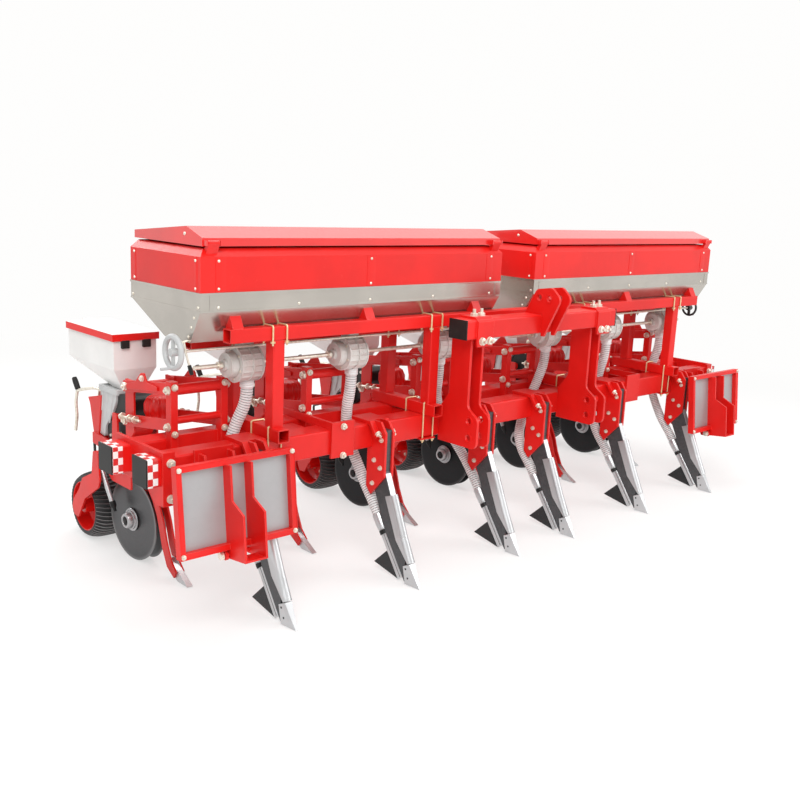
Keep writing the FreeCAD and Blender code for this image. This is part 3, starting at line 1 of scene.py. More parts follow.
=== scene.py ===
"""Looks for a mounted six-row precision planter: finishes, hoses, fixings and fittings."""

import logging
import math
from abc import ABC, abstractmethod
from collections.abc import Iterable, Sequence
from dataclasses import dataclass, field
from enum import Enum
from functools import partialmethod
from typing import Any

import bmesh
import bpy
import numpy as np
from mathutils import Matrix
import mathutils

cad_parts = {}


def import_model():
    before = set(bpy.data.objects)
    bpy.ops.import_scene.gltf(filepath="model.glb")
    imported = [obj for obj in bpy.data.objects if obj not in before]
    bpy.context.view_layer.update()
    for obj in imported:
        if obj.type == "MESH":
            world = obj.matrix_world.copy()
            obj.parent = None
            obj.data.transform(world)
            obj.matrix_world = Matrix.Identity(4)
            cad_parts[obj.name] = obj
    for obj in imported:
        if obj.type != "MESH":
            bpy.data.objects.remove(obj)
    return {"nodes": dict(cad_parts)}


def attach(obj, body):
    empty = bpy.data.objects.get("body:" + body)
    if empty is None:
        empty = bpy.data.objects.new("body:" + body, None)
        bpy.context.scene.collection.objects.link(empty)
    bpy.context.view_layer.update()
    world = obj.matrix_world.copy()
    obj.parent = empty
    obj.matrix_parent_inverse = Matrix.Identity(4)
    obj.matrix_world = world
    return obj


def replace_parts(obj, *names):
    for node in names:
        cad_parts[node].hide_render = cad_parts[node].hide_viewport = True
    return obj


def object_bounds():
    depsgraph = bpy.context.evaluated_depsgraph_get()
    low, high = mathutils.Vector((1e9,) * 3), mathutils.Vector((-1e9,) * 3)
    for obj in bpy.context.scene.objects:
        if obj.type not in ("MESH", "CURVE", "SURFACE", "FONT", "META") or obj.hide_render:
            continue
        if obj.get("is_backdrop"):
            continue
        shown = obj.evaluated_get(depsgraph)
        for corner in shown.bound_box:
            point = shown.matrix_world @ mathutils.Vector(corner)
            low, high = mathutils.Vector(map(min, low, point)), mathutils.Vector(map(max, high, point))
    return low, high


LOG = logging.getLogger("planter")
Colour = tuple[float, float, float]
Point = tuple[float, float, float]
Path = list[tuple[float, ...]]
Rows = tuple[tuple[float, float], ...]
Vector = Sequence[float]
Lines = Sequence[Vector]

ALONG, BACK, AHEAD = (1.0, 0.0, 0.0), (0.0, 1.0, 0.0), (0.0, -1.0, 0.0)
UP, DOWN = (0.0, 0.0, 1.0), (0.0, 0.0, -1.0)
SIDES = (-1.0, 1.0)
ROW_PITCH = 0.6


# ---- shader maths
class Link:
    """A shader socket that takes part in plain arithmetic."""

    def __init__(self, shader: "Shader", socket: bpy.types.NodeSocket) -> None:
        """Keep the shader that owns the socket, and the socket."""
        self.shader = shader
        self.socket = socket

    def maths(self, operation: str, *terms: Any) -> "Link":
        """Add one Math node.

        Args:
            operation: The node's operation.
            terms: The numbers or links that follow this one, in order.

        Returns:
            The node's result.
        """
        return self.shader.add("ShaderNodeMath", {"operation": operation}, self, *terms)

    __add__ = __radd__ = partialmethod(maths, "ADD")
    __sub__ = partialmethod(maths, "SUBTRACT")
    __mul__ = __rmul__ = partialmethod(maths, "MULTIPLY")
    __truediv__ = partialmethod(maths, "DIVIDE")
    __pow__ = partialmethod(maths, "POWER")
    __abs__ = partialmethod(maths, "ABSOLUTE")
    root = partialmethod(maths, "SQRT")
    above = partialmethod(maths, "GREATER_THAN")
    most = partialmethod(maths, "MAXIMUM")

    def __rsub__(self, other: float) -> "Link":
        """Return a number minus this."""
        return self.shader.add("ShaderNodeMath", {"operation": "SUBTRACT"}, other, self)

    def wrapped(self, span: float) -> "Link":
        """Return this wrapped into 0 to span."""
        return self.maths("WRAP", span, 0.0)

    def ramp(self, low: float, high: float) -> "Link":
        """Return a smooth climb from 0 at low to 1 at high."""
        settings = {"interpolation_type": "SMOOTHSTEP"}
        return self.shader.add("ShaderNodeMapRange", settings, self, low, high, 0.0, 1.0)


class Shader:
    """The node tree of a material or a world, and short ways to fill it."""

    def __init__(self, owner: bpy.types.Material | bpy.types.World) -> None:
        """Empty the owner's tree."""
        owner.use_nodes = True
        self.owner = owner
        self.tree = owner.node_tree
        self.tree.nodes.clear()
        self._place: Link | None = None

    def add(self, kind: str, settings: dict[str, Any] | None = None, *values: Any,
            out: int = 0, **named: Any) -> Link:
        """Add any node.

        Args:
            kind: The node's type.
            settings: Its options, set first.
            values: Numbers, colours or links for its first sockets, or None to pass one over.
            out: The number of the output to return.
            named: Numbers, colours or links by socket name, with _ for a blank.

        Returns:
            The chosen output.
        """
        node = self.tree.nodes.new(kind)
        for key, setting in (settings or {}).items():
            setattr(node, key, setting)
        sockets = list(enumerate(values))
        sockets += [(title.replace("_", " "), given) for title, given in named.items()]
        for key, given in sockets:
            socket = node.inputs[key]
            if isinstance(given, Link):
                self.tree.links.new(given.socket, socket)
            elif isinstance(given, tuple) and len(given) != len(socket.default_value):
                socket.default_value = (*given, 1.0)
            elif given is not None:
                socket.default_value = given
        return Link(self, node.outputs[out])

    def several(self, first: Link, keys: Iterable[int | str]) -> list[Link]:
        """Return several outputs of a link's node."""
        return [Link(self, first.socket.node.outputs[key]) for key in keys]

    def place(self) -> Link:
        """Return the surface's place on its piece, in metres."""
        if self._place is None:
            self._place = self.add("ShaderNodeTexCoord", out=3)
        return self._place

    def axes(self) -> list[Link]:
        """Return the x, y and z of the surface's place."""
        return self.several(self.add("ShaderNodeSeparateXYZ", None, self.place()), range(3))

    def rays(self) -> list[Link]:
        """Return 1 for a ray from the camera, from gloss and through a clear surface."""
        return self.several(self.add("ShaderNodeLightPath"),
                            ("Is Camera Ray", "Is Glossy Ray", "Is Transmission Ray"))

    def radius(self, y: float, z: float) -> Link:
        """Return the surface's distance from the line along X at (y, z)."""
        _, across, up = self.axes()
        return ((across - y) ** 2.0 + (up - z) ** 2.0).root()

    def lane(self) -> Link:
        """Return the surface's distance along X from its row's middle."""
        along = self.axes()[0]
        return (along + 50.0 * ROW_PITCH).wrapped(ROW_PITCH) - ROW_PITCH / 2

    def stretched(self, scale: Point) -> Link:
        """Return the place with each axis scaled."""
        return self.add("ShaderNodeMapping", None, self.place(), Scale=scale)

    def noise(self, scale: float, detail: float, place: Link | None = None) -> Link:
        """Return soft noise from 0 to 1.

        Args:
            scale: Lumps to the metre.
            detail: Octaves of finer lumps.
            place: Where to read it, or the surface's own place.

        Returns:
            The noise.
        """
        return self.add("ShaderNodeTexNoise", None, Vector=place or self.place(),
                        Scale=scale, Detail=detail, Roughness=0.55)

    def tint(self, factor: Any, first: Any, second: Any) -> Link:
        """Mix two colours by a factor."""
        blanks = (None,) * 5
        return self.add("ShaderNodeMix", {"data_type": "RGBA"}, factor, *blanks, first, second,
                        out=2)

    def relief(self, height: Link, depth: float, strength: float,
               normal: Link | None = None) -> Link:
        """Return a normal bent by a height of that depth in metres."""
        return self.add("ShaderNodeBump", None, Height=height, Distance=depth,
                        Strength=strength, Normal=normal)

    def softened(self, radius: float) -> Link:
        """Return a normal that rounds sharp edges by a radius in metres."""
        return self.add("ShaderNodeBevel", {"samples": 3}, radius)

    def edges(self, soft: Link) -> Link:
        """Return 1 along edges, where the softened normal leaves the flat one.

        The measure is one minus the dot product of the two normals.
        """
        flat = self.add("ShaderNodeNewGeometry", out=3)
        node = self.add("ShaderNodeVectorMath", {"operation": "DOT_PRODUCT"}, soft, flat, out=1)
        return (1.0 - node).ramp(0.01, 0.16)

    def body(self, **named: Any) -> Link:
        """Return a Principled surface with sockets set by name."""
        return self.add("ShaderNodeBsdfPrincipled", None, **named)

    def close(self, surface: Link,
              kind: str = "Material") -> bpy.types.Material | bpy.types.World:
        """Join a surface to an output of that kind and return the owner."""
        node = self.tree.nodes.new(f"ShaderNodeOutput{kind}")
        self.tree.links.new(surface.socket, node.inputs[0])
        return self.owner


# ---- finishes
class Slot(Enum):
    """The record's material slots."""

    PAINT = "red_paint"
    STAINLESS = "stainless"
    DARK = "dark_steel"
    BARE = "bare_steel"
    ZINC = "zinc"
    RUBBER = "tyre_rubber"
    BLACK = "black_plastic"
    WHITE = "white_plastic"
    CLEAR = "clear_plastic"
    HOSE = "hose_plastic"


class Finish(ABC):
    """A surface finish that can dress any piece, and the slot that it belongs to."""

    name: str
    slot: Slot
    _made: dict["Finish", bpy.types.Material] = {}

    @abstractmethod
    def surface(self, shader: Shader) -> Link:
        """Return the finish's surface in a shader."""

    def material(self) -> bpy.types.Material:
        """Return the finish's material, made once."""
        if self not in Finish._made:
            shader = Shader(bpy.data.materials.new(self.name))
            Finish._made[self] = shader.close(self.surface(shader))
        return Finish._made[self]


@dataclass(frozen=True)
class Enamel(Finish):
    """Glossy sprayed enamel: soft mottling, orange peel, dust, and paler edges that are partly paint
    worn thin and partly a painted highlight.
    """

    name: str = "red_enamel"
    base: Colour = (0.76, 0.008, 0.005)
    pale: Colour = (0.92, 0.2, 0.17)
    rough: float = 0.38
    coat: float = 0.1
    coat_rough: float = 0.12
    gloss: float = 0.36
    edge: float = 0.0022
    edge_wear_and_highlight: float = 0.75
    slot: Slot = Slot.PAINT

    def surface(self, shader: Shader) -> Link:
        """Return enamel whose colour, roughness and relief follow three noises."""
        cloud = shader.noise(2.6, 4.0)
        grain = shader.noise(46.0, 3.0)
        peel = shader.noise(620.0, 2.0)
        deep = tuple(0.8 * part for part in self.base)
        colour = shader.tint(cloud.ramp(0.3, 0.72), deep, self.base)
        colour = shader.tint(grain.ramp(0.64, 0.88) * 0.1, colour, self.pale)
        normal = None
        if self.edge:
            normal = shader.softened(self.edge)
            # paler edges: partly paint worn thin, partly a painted highlight where the edges catch the
            # light
            edge_tint = shader.edges(normal) * (0.45 + 0.55 * grain) * self.edge_wear_and_highlight
            colour = shader.tint(edge_tint, colour, self.pale)
        rough = self.rough + 0.12 * (cloud - 0.5) + 0.1 * grain
        return shader.body(Base_Color=colour, Roughness=rough, Specular_IOR_Level=self.gloss,
                           Coat_Weight=self.coat, Coat_Roughness=self.coat_rough,
                           Normal=shader.relief(peel, 0.00012, 0.35, normal))


@dataclass(frozen=True)
class BrushedSteel(Finish):
    """Stainless sheet: long fine scratches along X, clouds of dullness and faint stains."""

    name: str = "stainless_sheet"
    base: Colour = (0.54, 0.505, 0.455)
    metal: float = 0.9
    rough: float = 0.24
    slot: Slot = Slot.STAINLESS

    def surface(self, shader: Shader) -> Link:
        """Return steel whose roughness and relief follow noise stretched along X."""
        streak = shader.noise(1.0, 5.0, shader.stretched((2.0, 900.0, 900.0)))
        cloud = shader.noise(4.2, 4.0)
        spot = shader.noise(19.0, 5.0)
        dark = tuple(0.88 * part for part in self.base)
        colour = shader.tint(cloud.ramp(0.32, 0.7), dark, self.base)
        colour = shader.tint(spot.ramp(0.66, 0.84) * 0.12, colour, (0.42, 0.37, 0.29))
        colour = shader.tint((streak - 0.3) * 0.22, colour, (0.72, 0.71, 0.68))
        rough = self.rough + 0.1 * (cloud - 0.5) + 0.1 * (streak - 0.5)
        return shader.body(Base_Color=colour, Metallic=self.metal, Roughness=rough,
                           Normal=shader.relief(streak, 0.00006, 0.18))


@dataclass(frozen=True)
class Galvanised(Finish):
    """Galvanised sheet or cast metal: pale crystals, dull clouds and light scratches."""

    name: str = "galvanised_sheet"
    base: Colour = (0.47, 0.48, 0.5)
    spangle: float = 110.0
    metal: float = 0.55
    rough: float = 0.42
    edge: float = 0.0
    contrast: float = 1.0
    slot: Slot = Slot.BARE

    def surface(self, shader: Shader) -> Link:
        """Return metal whose colour steps from crystal to crystal, under soft clouds."""
        crystal = shader.add("ShaderNodeTexVoronoi", None, Vector=shader.place(),
                             Scale=self.spangle, out=1)
        shade = shader.add("ShaderNodeSeparateColor", None, crystal)
        cloud = shader.noise(7.0, 4.0)
        scratch = shader.noise(1.0, 3.0, shader.stretched((60.0, 60.0, 900.0)))
        dark = tuple((1.0 - 0.26 * self.contrast) * part for part in self.base)
        light = tuple(min(1.0, (1.0 + 0.2 * self.contrast) * part) for part in self.base)
        colour = shader.tint(shade * 0.55 + cloud * 0.35, dark, light)
        colour = shader.tint(scratch.ramp(0.66, 0.82) * 0.35 * self.contrast, colour,
                             (0.75, 0.75, 0.74))
        rough = self.rough + 0.16 * self.contrast * (shade - 0.5) + 0.12 * (cloud - 0.5)
        normal = shader.softened(self.edge) if self.edge else None
        return shader.body(Base_Color=colour, Metallic=self.metal, Roughness=rough,
                           Normal=shader.relief(scratch, 0.00015, 0.4, normal))


@dataclass(frozen=True)
class TurnedSteel(Finish):
    """A rolled disc or hub: faint rings about its own axle, darker towards the rim.

    The rings follow the distance from the axle's line, which runs along X at (y, z).
    """

    name: str
    y: float
    z: float
    base: Colour = (0.008, 0.008, 0.009)
    light: Colour = (0.03, 0.03, 0.032)
    rim: Colour = (0.1, 0.1, 0.1)
    outer: float = 0.17
    metal: float = 0.72
    slot: Slot = Slot.BARE

    def surface(self, shader: Shader) -> Link:
        """Return steel with ring marks from a noise read along the radius."""
        radius = shader.radius(self.y, self.z)
        line = shader.add("ShaderNodeCombineXYZ", None, radius * 260.0, 0.0, 0.0)
        ring = shader.noise(1.0, 3.0, line)
        cloud = shader.noise(14.0, 4.0)
        scratch = shader.noise(1.0, 3.0, shader.stretched((90.0, 26.0, 340.0)))
        edge_tint = radius.ramp(self.outer - 0.016, self.outer - 0.002)
        colour = shader.tint(ring * 0.55 + cloud * 0.35, self.base, self.light)
        colour = shader.tint(edge_tint * 0.5 + scratch.ramp(0.62, 0.8) * 0.25, colour, self.rim)
        rough = 0.34 + 0.2 * (ring - 0.5) + 0.18 * (cloud - 0.5)
        return shader.body(Base_Color=colour, Metallic=self.metal, Roughness=rough,
                           Normal=shader.relief(ring, 0.0002, 0.35))


@dataclass(frozen=True)
class Plated(Finish):
    """Zinc-plated fixings and shafts: pale or yellow, with small dull blooms."""

    name: str = "white_zinc"
    base: Colour = (0.8, 0.755, 0.66)
    bloom: Colour = (0.56, 0.49, 0.38)
    rough: float = 0.34
    metal: float = 0.6
    slot: Slot = Slot.ZINC

    def surface(self, shader: Shader) -> Link:
        """Return plating whose colour and gloss follow small blooms."""
        bloom = shader.noise(85.0, 4.0)
        cloud = shader.noise(9.0, 2.0)
        colour = shader.tint((bloom * 0.7 + cloud * 0.5).ramp(0.52, 0.86), self.base, self.bloom)
        rough = self.rough + 0.2 * (bloom - 0.5)
        return shader.body(Base_Color=colour, Metallic=self.metal, Roughness=rough,
                           Normal=shader.relief(bloom, 0.0002, 0.3))


@dataclass(frozen=True)
class Moulded(Finish):
    """Moulded plastic: fine grain, soft clouds of shade and a dull or glossy skin."""

    name: str = "black_moulding"
    base: Colour = (0.016, 0.016, 0.017)
    light: Colour = (0.045, 0.045, 0.047)
    rough: float = 0.44
    grain: float = 900.0
    through: float = 0.0
    gloss: float = 0.5
    slot: Slot = Slot.BLACK

    def surface(self, shader: Shader) -> Link:
        """Return plastic with pinhead grain in its relief and clouds in its colour."""
        grain = shader.noise(self.grain, 2.0)
        cloud = shader.noise(6.0, 4.0)
        colour = shader.tint(cloud.ramp(0.28, 0.74), self.base, self.light)
        rough = self.rough + 0.16 * (cloud - 0.5) + 0.1 * (grain - 0.5)
        return shader.body(Base_Color=colour, Roughness=rough,
                           Specular_IOR_Level=self.gloss, Transmission_Weight=self.through,
                           Normal=shader.relief(grain, 0.0002, 0.35))


@dataclass(frozen=True)
class Rubber(Finish):
    """Tyre rubber: charcoal, dull, dusty, with a painted highlight along the lugs' leading edges.

    With t the angle about the axle at (y, z) and w the place across the tread, from -1 to 1,
    an edge lies where sin(n t + 6 w^2 + 2 w) rises past 0.25. The tyres stand a row apart.
    """

    name: str = "tyre_rubber"
    base: Colour = (0.012, 0.012, 0.013)
    y: float = 0.0
    z: float = 0.0
    lugs: float = 46.0
    half: float = 0.0887
    tread: float = 0.119
    slot: Slot = Slot.RUBBER

    def _lug_highlights(self, shader: Shader) -> Link:
        """Return 1 along the lugs' leading edges, where the pale painted highlight goes."""
        _, across, up = shader.axes()
        wide = shader.lane() / self.half
        turn = (up - self.z).maths("ARCTAN2", across - self.y)
        phase = turn * self.lugs + wide ** 2.0 * 6.0 + wide * 2.0
        rising = phase.maths("COSINE").above(0.0)
        tread = shader.radius(self.y, self.z).above(self.tread)
        return (1.0 - abs(phase.maths("SINE") - 0.25).ramp(0.05, 0.45)) * rising * tread

    def surface(self, shader: Shader) -> Link:
        """Return rubber whose dust follows one noise and whose pores follow another."""
        dust = shader.noise(16.0, 5.0)
        pore = shader.noise(700.0, 2.0)
        colour = shader.tint(dust.ramp(0.48, 0.8) * 0.3, self.base, (0.055, 0.052, 0.048))
        # painted highlight: the lugs' leading edges are tinted pale grey as if catching the light
        colour = shader.tint(self._lug_highlights(shader) * 0.75, colour, (0.42, 0.42, 0.415))
        return shader.body(Base_Color=colour, Roughness=0.5 + 0.2 * dust,
                           Normal=shader.relief(pore, 0.0003, 0.5))


@dataclass(frozen=True)
class Tape(Finish):
    """Hazard tape: red and white squares with a fine prismatic weave."""

    name: str = "hazard_tape"
    width: float = 0.019
    height: float = 0.025
    slot: Slot = Slot.PAINT

    def surface(self, shader: Shader) -> Link:
        """Return squares from the parity of the steps along X, Y and Z."""
        steps = [(axis / size + 400.0).wrapped(2.0).above(1.0) for axis, size in
                 zip(shader.axes(), (self.width, self.height, self.height))]
        odd = (steps[0] + steps[1] + steps[2] + 0.5).wrapped(2.0).above(1.0)
        weave = shader.add("ShaderNodeTexVoronoi", None, Vector=shader.place(), Scale=420.0)
        dust = shader.noise(30.0, 4.0)
        colour = shader.tint(odd, (0.86, 0.85, 0.83), (0.62, 0.02, 0.02))
        colour = shader.tint(dust.ramp(0.55, 0.85) * 0.25, colour, (0.5, 0.42, 0.38))
        return shader.body(Base_Color=colour, Roughness=0.32 + 0.25 * dust,
                           Normal=shader.relief(weave, 0.0003, 0.5))


@dataclass(frozen=True)
class RingedHose(Finish):
    """Pale hose plastic with grey dust that lies in soft clouds."""

    name: str = "ribbed_hose"
    slot: Slot = Slot.HOSE

    def surface(self, shader: Shader) -> Link:
        """Return plastic that is clouded by two sizes of noise."""
        cloud = shader.noise(18.0, 4.0)
        grain = shader.noise(500.0, 2.0)
        colour = shader.tint(cloud.ramp(0.3, 0.75), (0.68, 0.69, 0.69), (0.84, 0.845, 0.84))
        return shader.body(Base_Color=colour, Roughness=0.36 + 0.2 * cloud,
                           Normal=shader.relief(grain, 0.0002, 0.3))


class Split(Enum):
    """What parts a node's two finishes."""

    HEIGHT = "height above the floor"
    REACH = "place along X"
    RADIUS = "distance from an axle"
    BEHIND = "distance behind a sloping line"
    LANE = "distance from a row's middle"


@dataclass(frozen=True)
class Parted(Finish):
    """Two finishes on one node, parted at a level of the split's measure.

    BEHIND measures how far the surface lies behind the sloping line y + z * height.
    """

    name: str
    inner: Finish
    outer: Finish
    split: Split
    level: float
    y: float = 0.0
    z: float = 0.0

    def _mask(self, shader: Shader) -> Link:
        """Return 0 where the inner finish lies and 1 where the outer one does."""
        along, across, up = shader.axes()
        if self.split is Split.HEIGHT:
            return up.above(self.level)
        if self.split is Split.REACH:
            return along.above(self.level)
        if self.split is Split.RADIUS:
            return shader.radius(self.y, self.z).above(self.level)
        if self.split is Split.LANE:
            return abs(shader.lane()).above(self.level)
        return (across - self.y - self.z * up).above(self.level)

    def surface(self, shader: Shader) -> Link:
        """Return the two surfaces mixed by the mask."""
        return shader.add("ShaderNodeMixShader", None, self._mask(shader),
                          self.inner.surface(shader), self.outer.surface(shader))


# ---- forms
@dataclass
class Form:
    """The points and faces of a mesh in the making."""

    points: np.ndarray
    faces: list[tuple[int, ...]]

    @staticmethod
    def joined(forms: Iterable["Form"]) -> "Form":
        """Return several forms as one, without merging their points."""
        points, faces, start = [], [], 0
        for form in forms:
            points.append(form.points)
            faces += [tuple(corner + start for corner in face) for face in form.faces]
            start += len(form.points)
        return Form(np.concatenate(points), faces)

    def turned(self, turn: np.ndarray, centre: Vector = (0.0, 0.0, 0.0)) -> "Form":
        """Return the form turned by a matrix about a centre."""
        middle = np.array(centre)
        return Form((self.points - middle) @ turn.T + middle, self.faces)


def unit(vectors: np.ndarray) -> np.ndarray:
    """Return vectors scaled to a length of one."""
    return vectors / np.linalg.norm(vectors, axis=-1, keepdims=True)


def basis(axis: Vector) -> np.ndarray:
    """Return three rows: the axis and two directions square to it and each other."""
    along = unit(np.array(axis, float))
    helper = np.eye(3)[int(np.argmin(np.abs(along)))]
    side = unit(np.cross(along, helper))
    return np.array((along, side, np.cross(along, side)))


def turn_about(axis: Vector, degrees: float) -> np.ndarray:
    """Return the matrix that turns about an axis by an angle."""
    return np.array(Matrix.Rotation(math.radians(degrees), 3, tuple(axis)))


def skin(points: np.ndarray, ends: bool = True) -> Form:
    """Skin a grid of points with four-sided faces.

    Args:
        points: Rows along the path, columns round the section, each with x, y and z. The last
            column joins the first.
        ends: Whether each end row is closed by a fan about its own mean.

    Returns:
        The skinned form.
    """
    rows, columns = points.shape[:2]
    index = np.arange(rows * columns).reshape(rows, columns)
    right = np.roll(index, -1, axis=1)
    quads = np.stack((index[:-1], right[:-1], right[1:], index[1:]), axis=-1).reshape(-1, 4)
    faces = [tuple(quad) for quad in quads.tolist()]
    flat = points.reshape(-1, 3)
    if ends:
        centres = points[[0, -1]].mean(axis=1)
        flat = np.concatenate((flat, centres))
        for pole, row in ((rows * columns, index[0]), (rows * columns + 1, index[-1])):
            following = np.roll(row, -1)
            faces += [(a, b, pole) for a, b in zip(row.tolist(), following.tolist())]
    return Form(flat, faces)


def lathe(profile: Lines, start: Vector, axis: Vector, sides: int,
          hexed: Vector | None = None, ends: bool = True) -> Form:
    """Carry a profile round an axis.

    A point lies at start + along * axis + r * (cos t * side + sin t * other), where r is the
    profile's radius, pushed out towards a hexagon's corners by 1 / cos(t mod 60 - 30) as far
    as the row's share says.

    Args:
        profile: Rows of distance along the axis and radius.
        start: Where the distances begin.
        axis: The axis direction.
        sides: Columns round the axis.
        hexed: For each row, 0 for round and 1 for a hexagon.
        ends: Whether the first and last rows are closed.

    Returns:
        The form.
    """
    rows = np.array(profile, float)
    along, side, other = basis(axis)
    angle = np.linspace(0.0, math.tau, sides, endpoint=False)
    flat = 1.0 / np.cos(np.mod(angle, math.pi / 3) - math.pi / 6) - 1.0
    share = np.zeros(len(rows)) if hexed is None else np.array(hexed, float)
    radius = rows[:, 1:2] * (1.0 + share[:, None] * flat)
    round_it = np.cos(angle)[:, None] * side + np.sin(angle)[:, None] * other
    points = (np.array(start, float) + rows[:, 0, None, None] * along
              + radius[:, :, None] * round_it)
    return skin(points, ends)


def hoop(profile: Lines, centre: Vector, axis: Vector, sides: int) -> Form:
    """Carry a closed profile of distances and radii round an axis that it doesn't reach."""
    return lathe((*profile, profile[0]), centre, axis, sides, ends=False)


def sweep(path: np.ndarray, radius: float | np.ndarray, sides: int = 12,
          across: Vector = ALONG, section: np.ndarray | None = None) -> Form:
    """Carry a round or given section along a path.

    At each point the section lies in the plane of (t x a) and (t x a) x t, where t is the
    path's direction and a the given direction, which the path never follows.

    Args:
        path: The path's points.
        radius: One radius, or one for each point.
        sides: Columns round a round section.
        across: The direction a.
        section: Rows of two numbers for a section that isn't round, scaled by radius.

    Returns:
        The form.
    """
    path = np.asarray(path, float)
    tangent = unit(np.gradient(path, axis=0))
    side = unit(np.cross(tangent, np.array(across, float)))
    other = np.cross(side, tangent)
    if section is None:
        angle = np.linspace(0.0, math.tau, sides, endpoint=False)
        section = np.stack((np.cos(angle), np.sin(angle)), axis=1)
    size = np.broadcast_to(np.asarray(radius, float), (len(path),))[:, None, None]
    points = (path[:, None] + size * (section[None, :, 0, None] * side[:, None]
                                      + section[None, :, 1, None] * other[:, None]))
    return skin(points)


def slab(outline: np.ndarray, push: Vector) -> Form:
    """Push a flat outline along a direction into a solid plate.

    Args:
        outline: The outline's points in order.
        push: The plate's thickness as a direction.

    Returns:
        A closed form of two faces and a wall.
    """
    near = np.asarray(outline, float)
    count = len(near)
    index = np.arange(count)
    following = np.roll(index, -1)
    walls = np.stack((index, following, following + count, index + count), axis=1)
    faces = [tuple(index.tolist()), tuple((index[::-1] + count).tolist())]
    return Form(np.concatenate((near, near + np.array(push))),
                faces + [tuple(wall) for wall in walls.tolist()])


def arc(centre: Vector, radius: float, start: float, end: float, count: int) -> np.ndarray:
    """Return points of an arc, centre + radius * (cos t, sin t), t from start to end degrees."""
    angle = np.radians(np.linspace(start, end, count))
    return np.array(centre) + radius * np.stack((np.cos(angle), np.sin(angle)), axis=1)


def lifted(flat: np.ndarray, plane: str, level: float) -> np.ndarray:
    """Return flat points in 3-D on a plane, "xy", "xz" or "yz", at a level of its third axis."""
    columns = {"xy": (0, 1, 2), "xz": (0, 2, 1), "yz": (1, 2, 0)}[plane]
    points = np.zeros((len(flat), 3))
    points[:, columns[0]] = flat[:, 0]
    points[:, columns[1]] = flat[:, 1]
    points[:, columns[2]] = level
    return points


def eased(before: np.ndarray, corner: np.ndarray, after: np.ndarray, reach: float,
          steps: int) -> np.ndarray:
    """Replace corners by curves.

    Each is the quadratic curve (1-t)^2 a + 2t(1-t) c + t^2 b between the points a and b that
    lie a reach from the corner c towards its neighbours.

    Args:
        before: The point before each corner.
        corner: The corners.
        after: The point after each corner.
        reach: How far from a corner its curve starts and ends.
        steps: Points of each curve, less one.

    Returns:
        The curves' points in order.
    """
    start = corner + reach * unit(before - corner)
    end = corner + reach * unit(after - corner)
    t = np.linspace(0.0, 1.0, steps + 1)[None, :, None]
    curve = ((1 - t) ** 2 * start[:, None] + 2 * t * (1 - t) * corner[:, None]
             + t ** 2 * end[:, None])
    return curve.reshape(-1, corner.shape[1])


def rounded(corners: Lines, radius: float) -> np.ndarray:
    """Return a flat outline with its corners rounded."""
    flat = np.array(corners, float)
    return eased(np.roll(flat, 1, axis=0), flat, np.roll(flat, -1, axis=0), radius, 4)


def rectangle(low: Vector, high: Vector, radius: float) -> np.ndarray:
    """Return a rectangle's outline with rounded corners."""
    return rounded([(low[0], low[1]), (high[0], low[1]), (high[0], high[1]),
                    (low[0], high[1])], radius)


def block(low: Vector, high: Vector, radius: float = 0.004) -> Form:
    """Return a block between two corners whose upright edges are rounded."""
    return slab(lifted(rectangle(low, high, radius), "xy", low[2]),
                (0.0, 0.0, high[2] - low[2]))


def wheel_grid(x: np.ndarray, radius: np.ndarray, angle: np.ndarray, y: float,
               z: float) -> np.ndarray:
    """Return points round the line along X at (y, z) from their X, radius and angle."""
    return np.stack((np.broadcast_to(x, radius.shape), y + radius * np.cos(angle),
                     z + radius * np.sin(angle)), axis=-1)


# ---- pieces
@dataclass
class SubAssembly(ABC):
    """A part of the machine that builds and dresses its own pieces."""

    pieces: list[bpy.types.Object] = field(default_factory=list, init=False)

    @abstractmethod
    def build(self) -> None:
        """Build and dress every piece."""

    def piece(self, name: str, forms: Form | Iterable[Form], finish: Finish,
              body: str = "frame", bevel: float = 0.0,
              angle: float = 38.0) -> bpy.types.Object:
        """Make one finished piece.

        Args:
            name: The piece's name.
            forms: Its form, or several that make one piece, in place.
            finish: Its finish.
            body: The body that it rides on.
            bevel: The width of its rounded edges, or 0.
            angle: The angle in degrees over which an edge stays sharp.

        Returns:
            The piece's object.
        """
        form = forms if isinstance(forms, Form) else Form.joined(forms)
        mesh = bpy.data.meshes.new(name)
        mesh.from_pydata(form.points.tolist(), [], form.faces)
        self._outward(mesh)
        mesh.polygons.foreach_set("use_smooth", [True] * len(mesh.polygons))
        mesh.set_sharp_from_angle(angle=math.radians(angle))
        mesh.materials.append(finish.material())
        thing = self.shown(name, mesh)
        if bevel:
            rounding = thing.modifiers.new("rounding", "BEVEL")
            rounding.width = bevel
            rounding.segments = 2
            rounding.limit_method = "ANGLE"
            rounding.angle_limit = math.radians(30)
            rounding.harden_normals = True
        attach(thing, body)
        self.pieces.append(thing)
        return thing

    @staticmethod
    def shown(name: str, data: Any) -> bpy.types.Object:
        """Return a new object of that data, linked to the scene."""
        thing = bpy.data.objects.new(name, data)
        bpy.context.scene.collection.objects.link(thing)
        return thing

    @staticmethod
    def _outward(mesh: bpy.types.Mesh) -> None:
        """Turn every face of a mesh outwards."""
        graph = bmesh.new()
        graph.from_mesh(mesh)
        bmesh.ops.remove_doubles(graph, verts=graph.verts[:], dist=1e-6)
        bmesh.ops.recalc_face_normals(graph, faces=graph.faces[:])
        graph.to_mesh(mesh)
        graph.free()
        mesh.update()

    def report(self) -> None:
        """Log every piece with its count of faces."""
        for thing in self.pieces:
            LOG.info("%s: %s, %d faces", type(self).__name__, thing.name,
                     len(thing.data.polygons))


